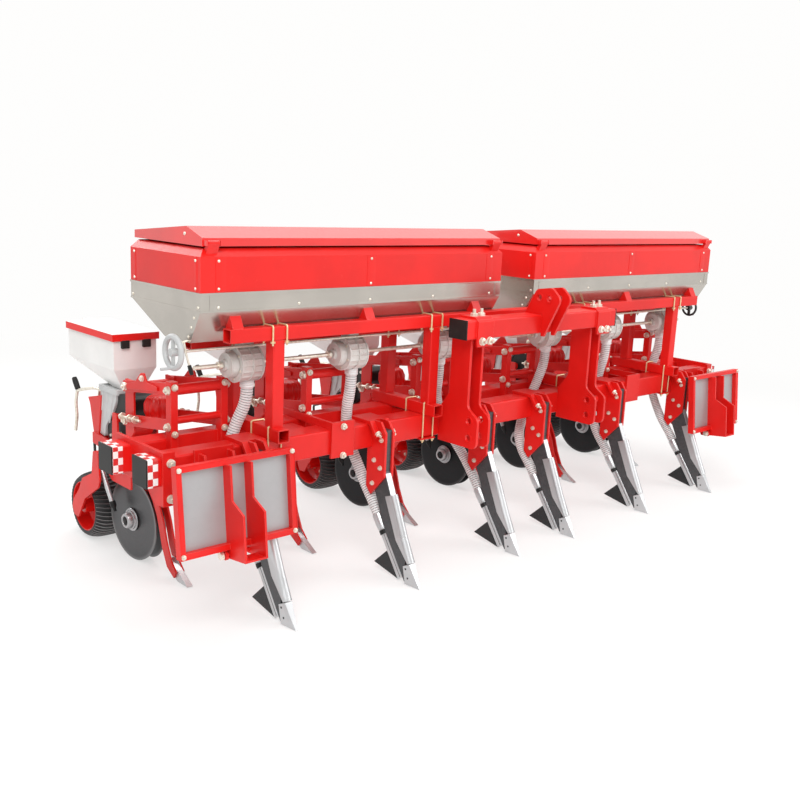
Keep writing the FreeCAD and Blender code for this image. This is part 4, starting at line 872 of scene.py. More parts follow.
# ---- shared places
@dataclass(frozen=True)
class Layout:
    """Places that several sub-assemblies share, in metres."""

    beam_front: float = -0.4145
    beam_side: float = 0.1
    beam_base: float = 0.517
    beam_pitch: float = 0.213
    meter_y: float = -0.2925
    meter_z: float = 0.888
    unit_y: float = 0.1325
    disc_y: float = 0.2275
    disc_z: float = 0.172
    press_y: float = 0.5685
    press_z: float = 0.144
    rows: tuple[float, ...] = (-1.5, -0.9, -0.3, 0.3, 0.9, 1.5)
    shanks: tuple[float, ...] = (-1.393, -0.793, -0.193, 0.193, 0.793, 1.393)
    meters: tuple[float, ...] = (-1.365, -0.865, -0.365, 0.365, 0.865, 1.365)
    sides: tuple[tuple[str, float], ...] = (("left", -1.0), ("right", 1.0))

    @property
    def beam_top(self) -> float:
        """Return the height of the beams' upper face."""
        return self.beam_base + self.beam_side

    @property
    def second_front(self) -> float:
        """Return the rear beam's front face."""
        return self.beam_front + self.beam_pitch


PLAN = Layout()

RED = Enamel()
RED_FLAT = Enamel(name="red_enamel_sheet", edge=0.0, edge_wear_and_highlight=0.0, rough=0.33, coat=0.18)
STAINLESS = BrushedSteel()
SHEET = Galvanised()
POINT_STEEL = Galvanised(name="point_steel", base=(0.56, 0.568, 0.578), spangle=9.0,
                         metal=0.86, rough=0.33, edge=0.0015, contrast=0.45)
PANEL = Galvanised(name="step_sheet", base=(0.4, 0.405, 0.41), spangle=60.0, metal=0.35,
                   rough=0.46, contrast=0.12)
SHANK_STEEL = Galvanised(name="shank_steel", base=(0.085, 0.088, 0.092), spangle=90.0,
                         metal=0.55, rough=0.4, edge=0.0015)
WING_STEEL = Galvanised(name="wing_steel", base=(0.016, 0.016, 0.017), spangle=90.0, metal=0.2,
                        rough=0.45)
WHITE_ZINC = Plated()
YELLOW_ZINC = Plated(name="yellow_zinc", base=(0.8, 0.66, 0.4), bloom=(0.66, 0.48, 0.24))
# painted highlight: the seed lids' upper face is painted near-white, as if the glossy red caught
# bright light from above
LID_TOP_HIGHLIGHT = Moulded(name="lid_top_painted_highlight", base=(0.8, 0.7, 0.68), light=(0.88, 0.85, 0.83),
                   rough=0.16, grain=300.0)
LID = Enamel(name="red_lid_enamel", edge=0.0, edge_wear_and_highlight=0.0, rough=0.3, coat=1.0,
             coat_rough=0.09, gloss=0.5)
BLACK = Moulded(base=(0.008, 0.008, 0.008), light=(0.022, 0.022, 0.021), gloss=0.25)
WHITE = Moulded(name="white_moulding", base=(0.78, 0.775, 0.76), light=(0.86, 0.855, 0.84),
                rough=0.36, grain=500.0, slot=Slot.WHITE)
GREY_SHELL = Moulded(name="grey_moulding", base=(0.42, 0.43, 0.43), light=(0.56, 0.57, 0.57),
                     rough=0.4, slot=Slot.WHITE)
MILKY = Moulded(name="milky_moulding", base=(0.6, 0.585, 0.55), light=(0.8, 0.79, 0.76),
                rough=0.3, grain=260.0, through=0.12, slot=Slot.CLEAR)
GREY_PAINT = Enamel(name="grey_enamel", base=(0.5, 0.51, 0.51), pale=(0.75, 0.75, 0.74),
                    rough=0.4, coat=0.25, edge=0.0)
# painted shade: dark grey for the cores that show through the hoses' grooves as their shade
GROOVE_SHADE = Moulded(name="groove_shade", base=(0.17, 0.17, 0.175), light=(0.25, 0.25, 0.255),
                 rough=0.6, slot=Slot.DARK)
BLACK_PAINT = Enamel(name="black_enamel", base=(0.014, 0.014, 0.015), pale=(0.12, 0.12, 0.12),
                     rough=0.38, coat=0.3, edge=0.0015, edge_wear_and_highlight=0.4, slot=Slot.DARK)
TYRE = Rubber(y=PLAN.press_y, z=PLAN.press_z)
TAPE = Tape()
RIBBED = RingedHose()


# ---- studio
@dataclass
class Studio(SubAssembly):
    """The camera, the soft lights and the pale floor."""

    eye: Point = (-3.293, -3.2365, 1.533)
    yaw: float = 42.88
    pitch: float = 12.26
    roll: float = -2.64
    lens: float = 43.35
    ambient: float = 0.54
    white: Colour = (0.992, 0.988, 0.98)
    target: Point = (0.0, 0.0, 0.6)
    lamps: tuple[tuple[str, Point, float, float], ...] = (
        ("key", (-3.6, -3.8, 4.6), 3.6, 235.0), ("fill", (3.8, -4.2, 3.2), 3.6, 100.0),
        ("crown", (0.2, 0.6, 5.2), 4.5, 190.0), ("back", (-2.4, 4.6, 3.4), 3.0, 80.0))
    floor_reach: float = 14.0
    floor_level: float = -0.0006

    def build(self) -> None:
        """Place the camera, the lights, the world and the floor."""
        self._camera()
        self._world()
        self._lamps()
        self._floor()

    def _camera(self) -> None:
        """Aim the camera by its yaw from +Y towards +X, its pitch down and its roll."""
        yaw, pitch, roll = (math.radians(a) for a in (self.yaw, self.pitch, self.roll))
        forward = np.array((math.sin(yaw) * math.cos(pitch), math.cos(yaw) * math.cos(pitch),
                            -math.sin(pitch)))
        right = np.array((math.cos(yaw), -math.sin(yaw), 0.0))
        down = np.cross(forward, right)
        side = math.cos(roll) * right + math.sin(roll) * down
        under = -math.sin(roll) * right + math.cos(roll) * down
        lens = bpy.data.cameras.new("camera")
        lens.lens, lens.sensor_width = self.lens, 36.0
        lens.clip_end = 100.0
        camera = self.shown("camera", lens)
        camera.matrix_world = self.stood(self.eye, side, -under, -forward)
        bpy.context.scene.camera = camera

    @staticmethod
    def stood(spot: Point, *axes: np.ndarray) -> Matrix:
        """Return the matrix that stands a thing at a spot with its three axes as given."""
        turn = Matrix(np.stack(axes, axis=1).tolist()).to_4x4()
        return Matrix.Translation(spot) @ turn

    def _world(self) -> None:
        """Light the world plainly, and show it white to the eye and in gloss."""
        shader = Shader(bpy.data.worlds.new("studio_world"))
        camera, gloss, clear = shader.rays()
        level = shader.add("ShaderNodeMix", None, camera.most(gloss).most(clear), None,
                           self.ambient, 1.0)
        glow = shader.add("ShaderNodeBackground", None, self.white, level)
        bpy.context.scene.world = shader.close(glow, "World")

    def _lamps(self) -> None:
        """Hang a wide soft lamp before and above each side, and one behind."""
        for name, spot, size, power in self.lamps:
            lamp = bpy.data.lights.new(name, "AREA")
            lamp.shape, lamp.size, lamp.energy = "DISK", size, power
            along, side, other = basis(np.array(spot) - self.target)
            self.shown(name, lamp).matrix_world = self.stood(spot, side, other, along)

    def _floor(self) -> None:
        """Lay a pale round floor that fades into the white world.

        Its rings lie at r = R u^2 for u up to 1.
        """
        radius = self.floor_reach * np.linspace(0.02, 1.0, 24)[:, None] ** 2
        angle = np.linspace(0.0, math.tau, 64, endpoint=False)
        points = np.stack((radius * np.cos(angle), radius * np.sin(angle),
                           np.full((24, 64), self.floor_level)), axis=-1)
        form = skin(points, ends=False)
        mesh = bpy.data.meshes.new("floor")
        mesh.from_pydata(form.points.tolist(), [], form.faces + [tuple(range(64))[::-1]])
        shader = Shader(bpy.data.materials.new("pale_floor"))
        along, across, _ = shader.axes()
        away = (along ** 2.0 + across ** 2.0).root().ramp(2.4, 6.0)
        camera, gloss, clear = shader.rays()
        colour = shader.tint(shader.noise(3.0, 3.0), (0.9, 0.897, 0.89), (0.93, 0.927, 0.92))
        matt = shader.body(Base_Color=colour, Roughness=0.9)
        glow = shader.add("ShaderNodeEmission", None, self.white, 1.0)
        lit = (camera + gloss + clear).above(0.5) * (0.58 + 0.42 * away)
        mesh.materials.append(shader.close(
            shader.add("ShaderNodeMixShader", None, lit, matt, glow)))
        self.shown("floor", mesh)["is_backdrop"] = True


# ---- hoses
@dataclass
class HoseSet(SubAssembly):
    """The six ribbed hoses from the meters to the shanks, with their cuffs."""

    radius: float = 0.023
    groove: float = 0.0034
    pitch: float = 0.0098
    heights: Rows = ((0.122, 0.743), (0.142, 0.657), (0.145, 0.567), (0.131, 0.482),
                     (0.097, 0.406), (0.053, 0.341))
    sway: tuple[Rows, ...] = (
        ((0.0, 0), (0.62, 0), (1.05, 1), (0.93, -2), (1.04, 1), (0.98, 0)),
        ((0.0, 0), (-0.08, -2), (0.12, 2), (0.55, 1), (0.92, -1), (1.03, 1)),
        ((0.0, 0), (0.06, 1), (0.3, 0), (0.66, 2), (0.92, 1), (1.02, -1)),
        ((0.0, 0), (0.08, -1), (0.3, 2), (0.63, -1), (0.92, 2), (1.01, 0)),
        ((0.0, 0), (0.05, 0), (0.26, 1), (0.64, 1), (0.95, -2), (1.02, 1)),
        ((0.0, 0), (6.0, 1), (9.0, 0), (4.0, -2), (-1.0, 0), (2.0, 0)))
    lengths: tuple[float, ...] = (0.628, 0.623, 0.648, 0.673, 0.636, 0.621)
    spigot: float = 0.03
    mouth: tuple[float, float] = (0.122, 0.8)
    collar: Rows = ((0.006, 0.2886), (-0.033, 0.234))
    core_gap: float = 0.0019
    cuff_ribs: tuple[float, ...] = (-0.036, -0.0262, -0.0164, -0.0066)
    rib: Rows = ((0.0, 0.0246), (0.0012, 0.0262), (0.003, 0.0268), (0.0062, 0.0268),
                 (0.008, 0.0262), (0.0092, 0.0246))

    def route(self, number: int) -> np.ndarray:
        """Return a hose's control points: straight down, back between the beams, forwards.

        Each free point has come a share of the way from its meter's spigot to its shank.
        """
        top, foot = PLAN.meters[number] + self.spigot, PLAN.shanks[number]
        rows = [(top, *self.mouth)]
        for (share, shift), (back, height) in zip(self.sway[number], self.heights):
            rows.append((top + share * (foot - top), back + shift / 1000, height))
        rows += [(foot, *end) for end in self.collar]
        return np.array(rows) + np.array((0.0, PLAN.beam_front, 0.0))

    def line(self, name: str, route: np.ndarray) -> np.ndarray:
        """Return closely spaced points of the smooth spline that the route controls."""
        curve = bpy.data.curves.new(f"{name}_line", "CURVE")
        curve.dimensions = "3D"
        spline = curve.splines.new("NURBS")
        spline.points.add(len(route) - 1)
        spline.points.foreach_set("co", np.column_stack((route, np.ones(len(route)))).ravel())
        spline.order_u = 3
        spline.use_endpoint_u = True
        spline.resolution_u = 24
        holder = self.shown(f"{name}_line", curve)
        bpy.context.view_layer.update()
        mesh = bpy.data.meshes.new_from_object(holder)
        points = np.empty(len(mesh.vertices) * 3)
        mesh.vertices.foreach_get("co", points)
        bpy.data.objects.remove(holder)
        bpy.data.curves.remove(curve)
        bpy.data.meshes.remove(mesh)
        return points.reshape(-1, 3)

    def ribbed(self, line: np.ndarray) -> Form:
        """Return the ribbed tube about a line.

        The radius at a distance s is R - g ((1 + cos(2 pi s / p)) / 2)^4, where g is the
        groove's depth and p the ribs' pitch, so the ribs are broad and the grooves narrow.
        """
        steps = np.linalg.norm(np.diff(line, axis=0), axis=1)
        reach = np.concatenate(([0.0], np.cumsum(steps)))
        ribs = round(reach[-1] / self.pitch)
        spots = np.linspace(0.0, reach[-1], ribs * 8 + 1)
        path = np.stack([np.interp(spots, reach, line[:, axis]) for axis in range(3)], axis=1)
        phase = spots / reach[-1] * ribs * math.tau
        radius = self.radius - self.groove * ((1.0 + np.cos(phase)) / 2.0) ** 4
        return sweep(path, radius, sides=24)

    def build(self) -> None:
        """Build the hoses, the dark cores that paint shade into their grooves, and the cuffs at their
        tops.
        """
        shade_cores, cuffs = [], []
        for number in range(6):
            name = f"hose_{number + 1}"
            line = self.line(name, self.route(number))
            hose = self.piece(name, self.ribbed(line), RIBBED)
            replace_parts(hose, f"fert_{name}")
            2 * self.radius
            # painted shade: a dark core just under the ribs shows through the grooves
            shade_cores.append(sweep(line[1:-1:2], self.radius - self.core_gap, sides=20))
            rows = np.concatenate([np.array(self.rib) + (start, 0.0)
                                   for start in self.cuff_ribs])
            cuffs.append(lathe(rows, line[0], DOWN, sides=32))
            LOG.info("%s is %.3f m long", name,
                     float(np.linalg.norm(np.diff(line, axis=0), axis=1).sum()))
        self.piece("hose_groove_shade_cores", shade_cores, GROOVE_SHADE)
        self.piece("hose_cuffs", cuffs, RIBBED)


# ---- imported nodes
@dataclass
class PackedFinishes:
    """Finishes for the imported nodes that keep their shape."""

    nodes: dict[str, bpy.types.Object]
    wheel_ends: tuple[float, float] = (-1.635, 1.6)
    wing_reach: float = 0.2001
    wing_slope: float = 0.714286
    tine_half: float = 0.0123
    tine_top: float = 0.079
    band_top: float = 1.164
    hub: float = 0.0375
    rim: float = 0.1185
    lid_edge: float = 0.0012

    @staticmethod
    def disc_steel(row: int) -> Finish:
        """Return a row's disc steel: the first row's is a lighter copy with painted light, as if lit;
        the others' is a darker copy with painted shade.
        """
        # painted light and shade: row 1 gets a lighter copy of the disc steel as if lit, the other
        # rows a darker one as if in shade
        if row > 1:
            return TurnedSteel("disc_steel", PLAN.disc_y, PLAN.disc_z)
        return TurnedSteel("lit_disc_steel", PLAN.disc_y, PLAN.disc_z, (0.04, 0.041, 0.043),
                           (0.14, 0.14, 0.145), (0.3, 0.3, 0.3))

    def lid_finish(self, name: str) -> Finish:
        """Return a seed lid's finish: red below its upper face, and the upper face glossy and painted
        pale as a painted highlight.
        """
        corners = (corner[2] for corner in self.nodes[name].bound_box)
        # the pale upper face is a painted highlight
        return Parted("seed_lid_finish", RED, LID_TOP_HIGHLIGHT, Split.HEIGHT, max(corners) - self.lid_edge)

    def table(self) -> dict[str, Finish]:
        """Return each node's finish by name."""
        left_end, right_end = self.wheel_ends
        wheel = Parted("left_wheel_end", GREY_PAINT, WHITE_ZINC, Split.REACH, left_end)
        point = Parted("tine_point", POINT_STEEL, RED, Split.LANE, self.tine_half)
        found: dict[str, Finish] = {
            "beam_end_caps": BLACK,
            "feed_shafts": Parted("shafts_and_wheels", wheel, BLACK_PAINT, Split.REACH,
                                  right_end),
            "fertiliser_meters": MILKY,
            "fertiliser_tubes": POINT_STEEL,
            "shank_plates": Parted("shank_and_wing", SHANK_STEEL, WING_STEEL, Split.BEHIND,
                                   PLAN.beam_front - self.wing_reach, z=self.wing_slope),
            "shank_points": POINT_STEEL,
            "seed_hoppers": WHITE,
            "row_tines": Parted("tine_and_point", point, RED, Split.HEIGHT, self.tine_top),
        }
        for side, _ in PLAN.sides:
            found[f"fertiliser_hopper_{side}"] = Parted(
                f"hopper_{side}", STAINLESS, RED_FLAT, Split.HEIGHT, self.band_top)
            found[f"hopper_lid_{side}"] = LID
            for row in range(1, 7):
                found[f"opener_disc_{side}_{row}"] = Parted(
                    "disc_and_hub", WHITE_ZINC, self.disc_steel(row), Split.RADIUS, self.hub,
                    PLAN.disc_y, PLAN.disc_z)
        for row in range(1, 7):
            found[f"seed_lid_{row}"] = self.lid_finish(f"seed_lid_{row}")
            found[f"press_wheel_{row}"] = Parted("wheel_and_tyre", RED, TYRE, Split.RADIUS,
                                                 self.rim, PLAN.press_y, PLAN.press_z)
        return found

    def build(self) -> None:
        """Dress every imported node, in red enamel where nothing else is named."""
        table = self.table()
        for name, thing in self.nodes.items():
            finish = table.get(name, RED)
            for place in thing.material_slots:
                place.link = "OBJECT"
                place.material = finish.material()
            LOG.info("%s wears %s", name, finish.name)


# ---- fixings
def bolt(spot: Vector, axis: Vector, size: float, stub: float) -> Form:
    """Return a hexagon head or nut on its washer.

    Args:
        spot: The middle of the seat.
        axis: The way the head stands out.
        size: Half the width across the head's flats.
        stub: How far a threaded end stands out past a nut, or 0 for a head.

    Returns:
        The bolt as one closed form.
    """
    rows = [(-0.0005, 1.22 * size), (0.16 * size, 1.22 * size), (0.17 * size, size),
            (0.8 * size, size), (0.92 * size, 0.82 * size)]
    hexed = [0, 0, 1, 1, 0]
    if stub:
        rows += [(0.93 * size, 0.52 * size), (0.92 * size + stub, 0.5 * size)]
        hexed += [0, 0]
    return lathe(rows, spot, axis, sides=12, hexed=hexed)


def bolts(spots: Iterable[Vector], axis: Vector | None, size: float, stub: float = 0.0) -> Form:
    """Return one bolt at each spot, along X by the spot's fourth number if no axis is given."""
    return Form.joined(bolt(spot[:3], (spot[3], 0, 0) if axis is None else axis, size, stub)
                       for spot in spots)


def rivets(spots: Iterable[Vector], axis: Vector, size: float = 0.0055) -> Form:
    """Return a low domed rivet at each spot: radius r cos t and height 0.6 r sin t."""
    t = np.radians(np.linspace(0.0, 78.0, 4))
    rows = [(-0.0004, size)] + list(zip(0.6 * size * np.sin(t), size * np.cos(t)))
    return Form.joined(lathe(rows, spot, axis, sides=10) for spot in spots)


def belt(outline: np.ndarray, plane: str, start: float, end: float, proud: float,
         inside: float = 0.001) -> Form:
    """Return a thin belt about a flat outline.

    Its outer wall is the outline scaled about its middle so that each side moves out by
    proud, and its hidden inner wall is scaled in to match.

    Args:
        outline: The outline's points.
        plane: The plane that it lies in.
        start: The belt's first edge along the third axis.
        end: Its second edge.
        proud: How far it stands out.
        inside: How far its hidden wall lies in.

    Returns:
        The closed form.
    """
    middle = (outline.max(axis=0) + outline.min(axis=0)) / 2
    reach = (outline.max(axis=0) - outline.min(axis=0)) / 2
    walls = {way: middle + (outline - middle) * (1.0 + way / reach) for way in (proud, -inside)}
    rows = [lifted(walls[way], plane, level) for way, level in
            ((-inside, start), (proud, start), (proud, end), (-inside, end), (-inside, start))]
    return skin(np.stack(rows), ends=False)


def rods(paths: Iterable[Lines], radius: float, sides: int = 10,
         across: Vector = ALONG, bend: float = 0.0) -> Form:
    """Return round rods along paths, with their corners eased where a bend is given."""
    forms = []
    for path in paths:
        points = np.array(path, float)
        if bend and len(points) > 2:
            points = np.concatenate((points[:1], eased(points[:-2], points[1:-1], points[2:],
                                                       bend, 5), points[-1:]))
        forms.append(sweep(points, radius, sides, across))
    return Form.joined(forms)


def staple(near: Vector, far: Vector, low: float, high: float) -> Path:
    """Return an upturned U's path over two places, from its low ends to its high back."""
    return [(*near, low), (*near, high), (*far, high), (*far, low)]


def behind(offset: float) -> float:
    """Return the place along Y of an offset in millimetres behind the front beam's face."""
    return PLAN.beam_front + offset / 1000.0


def place(x: float, offset: float, height: float) -> Point:
    """Return a place from X in metres and an offset and a height in millimetres."""
    return (x, behind(offset), height / 1000.0)


def run(x: float, *spots: Vector) -> Path:
    """Return a path of places at one X from offsets and heights in millimetres."""
    return [place(x, *spot) for spot in spots]


def plate(corners: Lines, x: float, push: float, radius: float = 0.0) -> Form:
    """Return a plate across X.

    Args:
        corners: Its outline's offsets and heights, in millimetres.
        x: The place of its first face.
        push: Its thickness and way along X.
        radius: The radius of its corners, or 0.

    Returns:
        The closed form.
    """
    flat = np.array([(behind(offset), height / 1000.0) for offset, height in corners])
    return slab(lifted(rounded(flat, radius) if radius else flat, "yz", x), (push, 0.0, 0.0))


def flanks(middles: Iterable[float]) -> list[tuple[float, float]]:
    """Return each middle with each side, -1 and 1."""
    return [(x, side) for x in middles for side in SIDES]


def wheel_spots(x: float, y: float, z: float, radius: float, start: float) -> Path:
    """Return six places evenly round an axle, the first at an angle in degrees."""
    angle = np.radians(np.arange(6) * 60.0 + start)
    return [(x, y + radius * math.cos(a), z + radius * math.sin(a)) for a in angle]


# ---- toolbar
@dataclass
class ToolbarFittings(SubAssembly):
    """Bolts, U-bolts, straps' nuts and hazard tape on the toolbar and the hopper stand.

    The straps' and the cheeks' spots are offsets and heights in millimetres.
    """

    flange_x: float = 1.726
    strap_x: float = -0.9765
    posts: tuple[float, ...] = (-1.296, -0.51, 0.51, 1.296)
    rails: Rows = ((-0.024, 0.99), (0.238, 0.93))
    rail: float = 0.05
    wire: float = 0.0034
    clear: float = 0.0037
    hoop_half: float = 0.0305
    crossed_half: float = 0.029
    pad_half: float = 0.04
    pad_past: float = 0.014
    flange: float = 0.012
    flange_heights: tuple[float, ...] = (0.598, 0.472)
    strap_heights: tuple[float, ...] = (0.628, 0.512)
    strap_half: float = 0.038
    strap_spot: Vector = (-50, 586)
    strap_tilt: float = 24.0
    cheek_half: float = 0.025
    cheek_spots: Rows = ((-62, 560), (-60, 445), (-22, 470), (-16, 372))
    tape_width: float = 0.038
    beam_ends: Rows = ((-0.4145, 1.805), (-0.2015, 1.825))
    bracket_bolts: tuple[float, float, Vector] = (0.104, -0.036, (0.812, 0.64, 0.56))
    bracket_pivots: tuple[float, float, Vector] = (0.118, -0.018, (0.8, 0.665))
    unit_pivots: tuple[float, float, Vector] = (0.1, 0.012, (0.749, 0.614))

    def build(self) -> None:
        """Build every fixing of the toolbar."""
        front = PLAN.beam_front - self.flange
        ends = [(side * self.flange_x, front, height) for side in SIDES
                for height in self.flange_heights]
        middle = [(self.strap_x, front, height) for height in self.strap_heights]
        self.piece("flange_bolts", (bolts(ends, AHEAD, size=0.013, stub=0.008),
                                    bolts(middle, AHEAD, size=0.0112, stub=0.008)),
                   WHITE_ZINC, angle=30)
        self._shank_bolts()
        self._u_bolts()
        self._tape()
        self._bracket_bolts()

    def _shank_bolts(self) -> None:
        """Build the bolts of the shank brackets: on their straps, cheeks and caps."""
        straps, cheeks = [], []
        for x, side in flanks(PLAN.shanks):
            straps.append(place(x + side * self.strap_half, *self.strap_spot))
            cheeks += [(*place(x + side * self.cheek_half, *spot), side)
                       for spot in self.cheek_spots]
        head = turn_about(ALONG, self.strap_tilt) @ np.array(AHEAD)
        self.piece("strap_bolts", bolts(straps, head, size=0.0112, stub=0.012),
                   WHITE_ZINC, angle=30)
        self.piece("cheek_bolts", bolts(cheeks, None, size=0.0082, stub=0.005),
                   WHITE_ZINC, angle=30)

    def _u_bolts(self) -> None:
        """Build the U-bolts: round the hopper rails at each post and over each foot rail."""
        front, base, clear = PLAN.beam_front, PLAN.beam_base, self.clear
        hoops, crossed, nuts, plates = [], [], [], []
        for post in self.posts:
            for x in (post - self.hoop_half, post + self.hoop_half):
                for back, low in self.rails:
                    near = front + back - clear
                    far = front + back + self.rail + clear
                    hoops.append(staple((x, near), (x, far), low - 0.018,
                                        low + self.rail + clear))
                    nuts += [(x, near, low - 0.003), (x, far, low - 0.003)]
            for y in (front - clear - 0.001, front + 0.101 + clear):
                feet = [(post - self.crossed_half, y), (post + self.crossed_half, y)]
                crossed.append(staple(*feet, base - 0.02, PLAN.beam_top + self.rail + clear))
                nuts += [(*foot, base - 0.0062) for foot in feet]
            plates.append(block(
                (post - self.pad_half, front - self.pad_past, base - 0.006),
                (post + self.pad_half, front + PLAN.beam_side + self.pad_past, base - 0.0003)))
        self.piece("u_bolts", (rods(hoops, self.wire, sides=8, bend=0.008),
                               rods(crossed, self.wire, sides=8, across=BACK, bend=0.008)),
                   YELLOW_ZINC)
        self.piece("u_bolt_nuts", bolts(nuts, DOWN, size=0.0075), YELLOW_ZINC, angle=30)
        self.piece("u_bolt_plates", plates, RED_FLAT, bevel=0.0008)

    def _tape(self) -> None:
        """Wrap hazard tape round the beams' ends, outside the end plates."""
        bands = []
        for front, end in self.beam_ends:
            outline = rectangle((front, PLAN.beam_base),
                                (front + PLAN.beam_side, PLAN.beam_top), 0.008)
            bands += [belt(outline, "yz", start, start + self.tape_width, proud=0.0007)
                      for start in (end - self.tape_width, -end)]
        self.piece("hazard_tape_bands", bands, TAPE)

    def _bracket_bolts(self) -> None:
        """Build the bolts of the row brackets and the links' pivots.

        A table gives how far they lie beside the row and behind a face, and their heights.
        """
        second = PLAN.second_front
        front, near, far = ([(x + side * beside, face + back, height, side)
                             for x, side in flanks(PLAN.rows) for height in heights]
                            for face, (beside, back, heights) in (
                                (second, self.bracket_bolts), (second, self.bracket_pivots),
                                (PLAN.unit_y, self.unit_pivots)))
        self.piece("bracket_bolts", bolts(front, AHEAD, size=0.0105, stub=0.005),
                   WHITE_ZINC, angle=30)
        self.piece("link_pivots", bolts(near + far, None, size=0.0135, stub=0.006),
                   WHITE_ZINC, angle=30)


# ---- hitch
@dataclass
class HitchFittings(SubAssembly):
    """Bolts of the hitch's top beam clamps and collars round the pin holes.

    The holes are offsets and heights in millimetres.
    """

    centre: float = 0.401
    clamp_front: float = -0.6175
    clamp_top: float = 1.047
    clamp_half: float = 0.022
    top_back: float = 0.052
    front_height: float = 0.95
    half: float = 0.041
    link_holes: Rows = ((-175, 612), (-175, 541))
    ear_holes: Rows = ((-226, 1109), (-173, 1111))
    link_collar: Rows = ((0.0, 0.0148), (0.0, 0.0215), (0.0024, 0.0208), (0.0024, 0.0148))
    ear_collar: Rows = ((0.0, 0.0132), (0.0, 0.019), (0.002, 0.0184), (0.002, 0.0132))

    def build(self) -> None:
        """Build the clamps' bolts and the collars of the link and ear holes."""
        across = [middle + side * self.clamp_half
                  for middle, side in flanks((-self.centre, self.centre))]
        top = [(x, self.clamp_front + self.top_back, self.clamp_top) for x in across]
        front = [(x, self.clamp_front, self.front_height) for x in across]
        self.piece("clamp_bolts", (bolts(top, UP, size=0.014, stub=0.016),
                                   bolts(front, AHEAD, size=0.014, stub=0.012)),
                   WHITE_ZINC, angle=30)
        collars = []
        for profile, middles, holes in (
                (self.link_collar, (-self.centre, self.centre), self.link_holes),
                (self.ear_collar, (0.0,), self.ear_holes)):
            for x, side in flanks(middles):
                face = x + side * self.half
                collars += [hoop(profile, place(face, *hole), (side, 0, 0), sides=24)
                            for hole in holes]
        self.piece("pin_hole_collars", collars, RED_FLAT)


# ---- fertiliser hoppers
@dataclass
class HopperFittings(SubAssembly):
    """Seams, folded lips and rivets of the fertiliser hoppers and their lids."""

    centre: float = 0.8615
    half: float = 0.7475
    front: float = -0.4225
    rear: float = 0.0685
    trough_top: float = 1.104
    band_top: float = 1.164
    shoulder: float = 1.288
    body_rivets: tuple[float, ...] = (1.274, 1.18)
    band_rivets: float = 1.117
    trough_rivets: tuple[float, ...] = (1080, 1045, 1010)
    body_inset: float = 0.031
    band_inset: float = 0.016
    lid_rivet: Point = (0.012, -0.3, 1.358)
    red_seam: float = 0.078
    pale_seam: float = 0.036
    seam_half: float = 0.02
    proud: float = 0.0011

    def build(self) -> None:
        """Build the lips, the seams and the rivets of both hoppers."""
        for name, side in PLAN.sides:
            x = side * self.centre
            outline = rectangle((x - self.half, self.front), (x + self.half, self.rear), 0.003)
            lips = [belt(outline, "xy", level - below, level + above, proud=proud)
                    for level, below, above, proud in
                    ((self.band_top, 0.004, 0.0035, 0.0032),
                     (self.trough_top, 0.003, 0.003, 0.002))]
            self.piece(f"hopper_lips_{name}", lips, STAINLESS)
            self._seams(name, x)
            self._rivets(name, x)

    def _seams(self, name: str, x: float) -> None:
        """Build the overlapping sheet edges at the corners and the middle of a hopper."""
        red_half, pale_half = self.half - self.red_seam, self.half - self.pale_seam
        boxes = [(spot - self.seam_half, self.front - self.proud,
                  spot + self.seam_half, self.front + 0.001)
                 for spot in (x - red_half, x, x + red_half)]
        for wall in (x - self.half, x + self.half):
            boxes += [(wall - self.proud, near, wall + self.proud, near + 0.018)
                      for near in (self.front + 0.022, self.rear - 0.04)]
        red = [block((a, b, self.band_top + 0.004), (c, d, self.shoulder - 0.001), 0.0004)
               for a, b, c, d in boxes]
        pale = [block((spot - 0.0015, self.front - 0.0014, self.trough_top + 0.003),
                      (spot + 0.0015, self.front + 0.001, self.band_top - 0.004), 0.0004)
                for spot in (x - pale_half, x + pale_half)]
        self.piece(f"hopper_seams_{name}", red, RED_FLAT)
        self.piece(f"band_seams_{name}", pale, STAINLESS)

    def _rivets(self, name: str, x: float) -> None:
        """Build the rivets on the body, the band and the trough's end walls.

        Those of the trough, in millimetres, follow its slope of 62 over 114.
        """
        along = [x + step * (self.half - 0.07) for step in (-1.0, -0.5, 0.0, 0.5, 1.0)]
        front = [(spot, self.front - 0.001, height) for spot in along[::2]
                 for height in self.body_rivets]
        front += [(spot, self.front, self.band_rivets) for spot in along]
        rear = [(px, self.rear, pz) for px, _, pz in front]
        forms, lid = [rivets(front, AHEAD), rivets(rear, BACK)], []
        for edge in SIDES:
            wall = x + edge * self.half
            spots = [(wall + edge * 0.001, y, z)
                     for y in (self.front + self.body_inset, self.rear - self.body_inset)
                     for z in self.body_rivets]
            spots += [(wall, y, self.band_rivets)
                      for y in (self.front + self.band_inset, self.rear - self.band_inset)]
            spots += [place(wall, 20 + 62 * (1104 - z) / 114, z) for z in self.trough_rivets]
            forms.append(rivets(spots, (edge, 0, 0)))
            inward, *spot = self.lid_rivet
            lid.append(rivets([(wall - edge * inward, *spot)], (edge, 0, 0), size=0.0065))
        self.piece(f"hopper_rivets_{name}", forms, WHITE_ZINC)
        self.piece(f"lid_rivets_{name}", lid, WHITE_ZINC, body=f"hopper_cover_{name}")


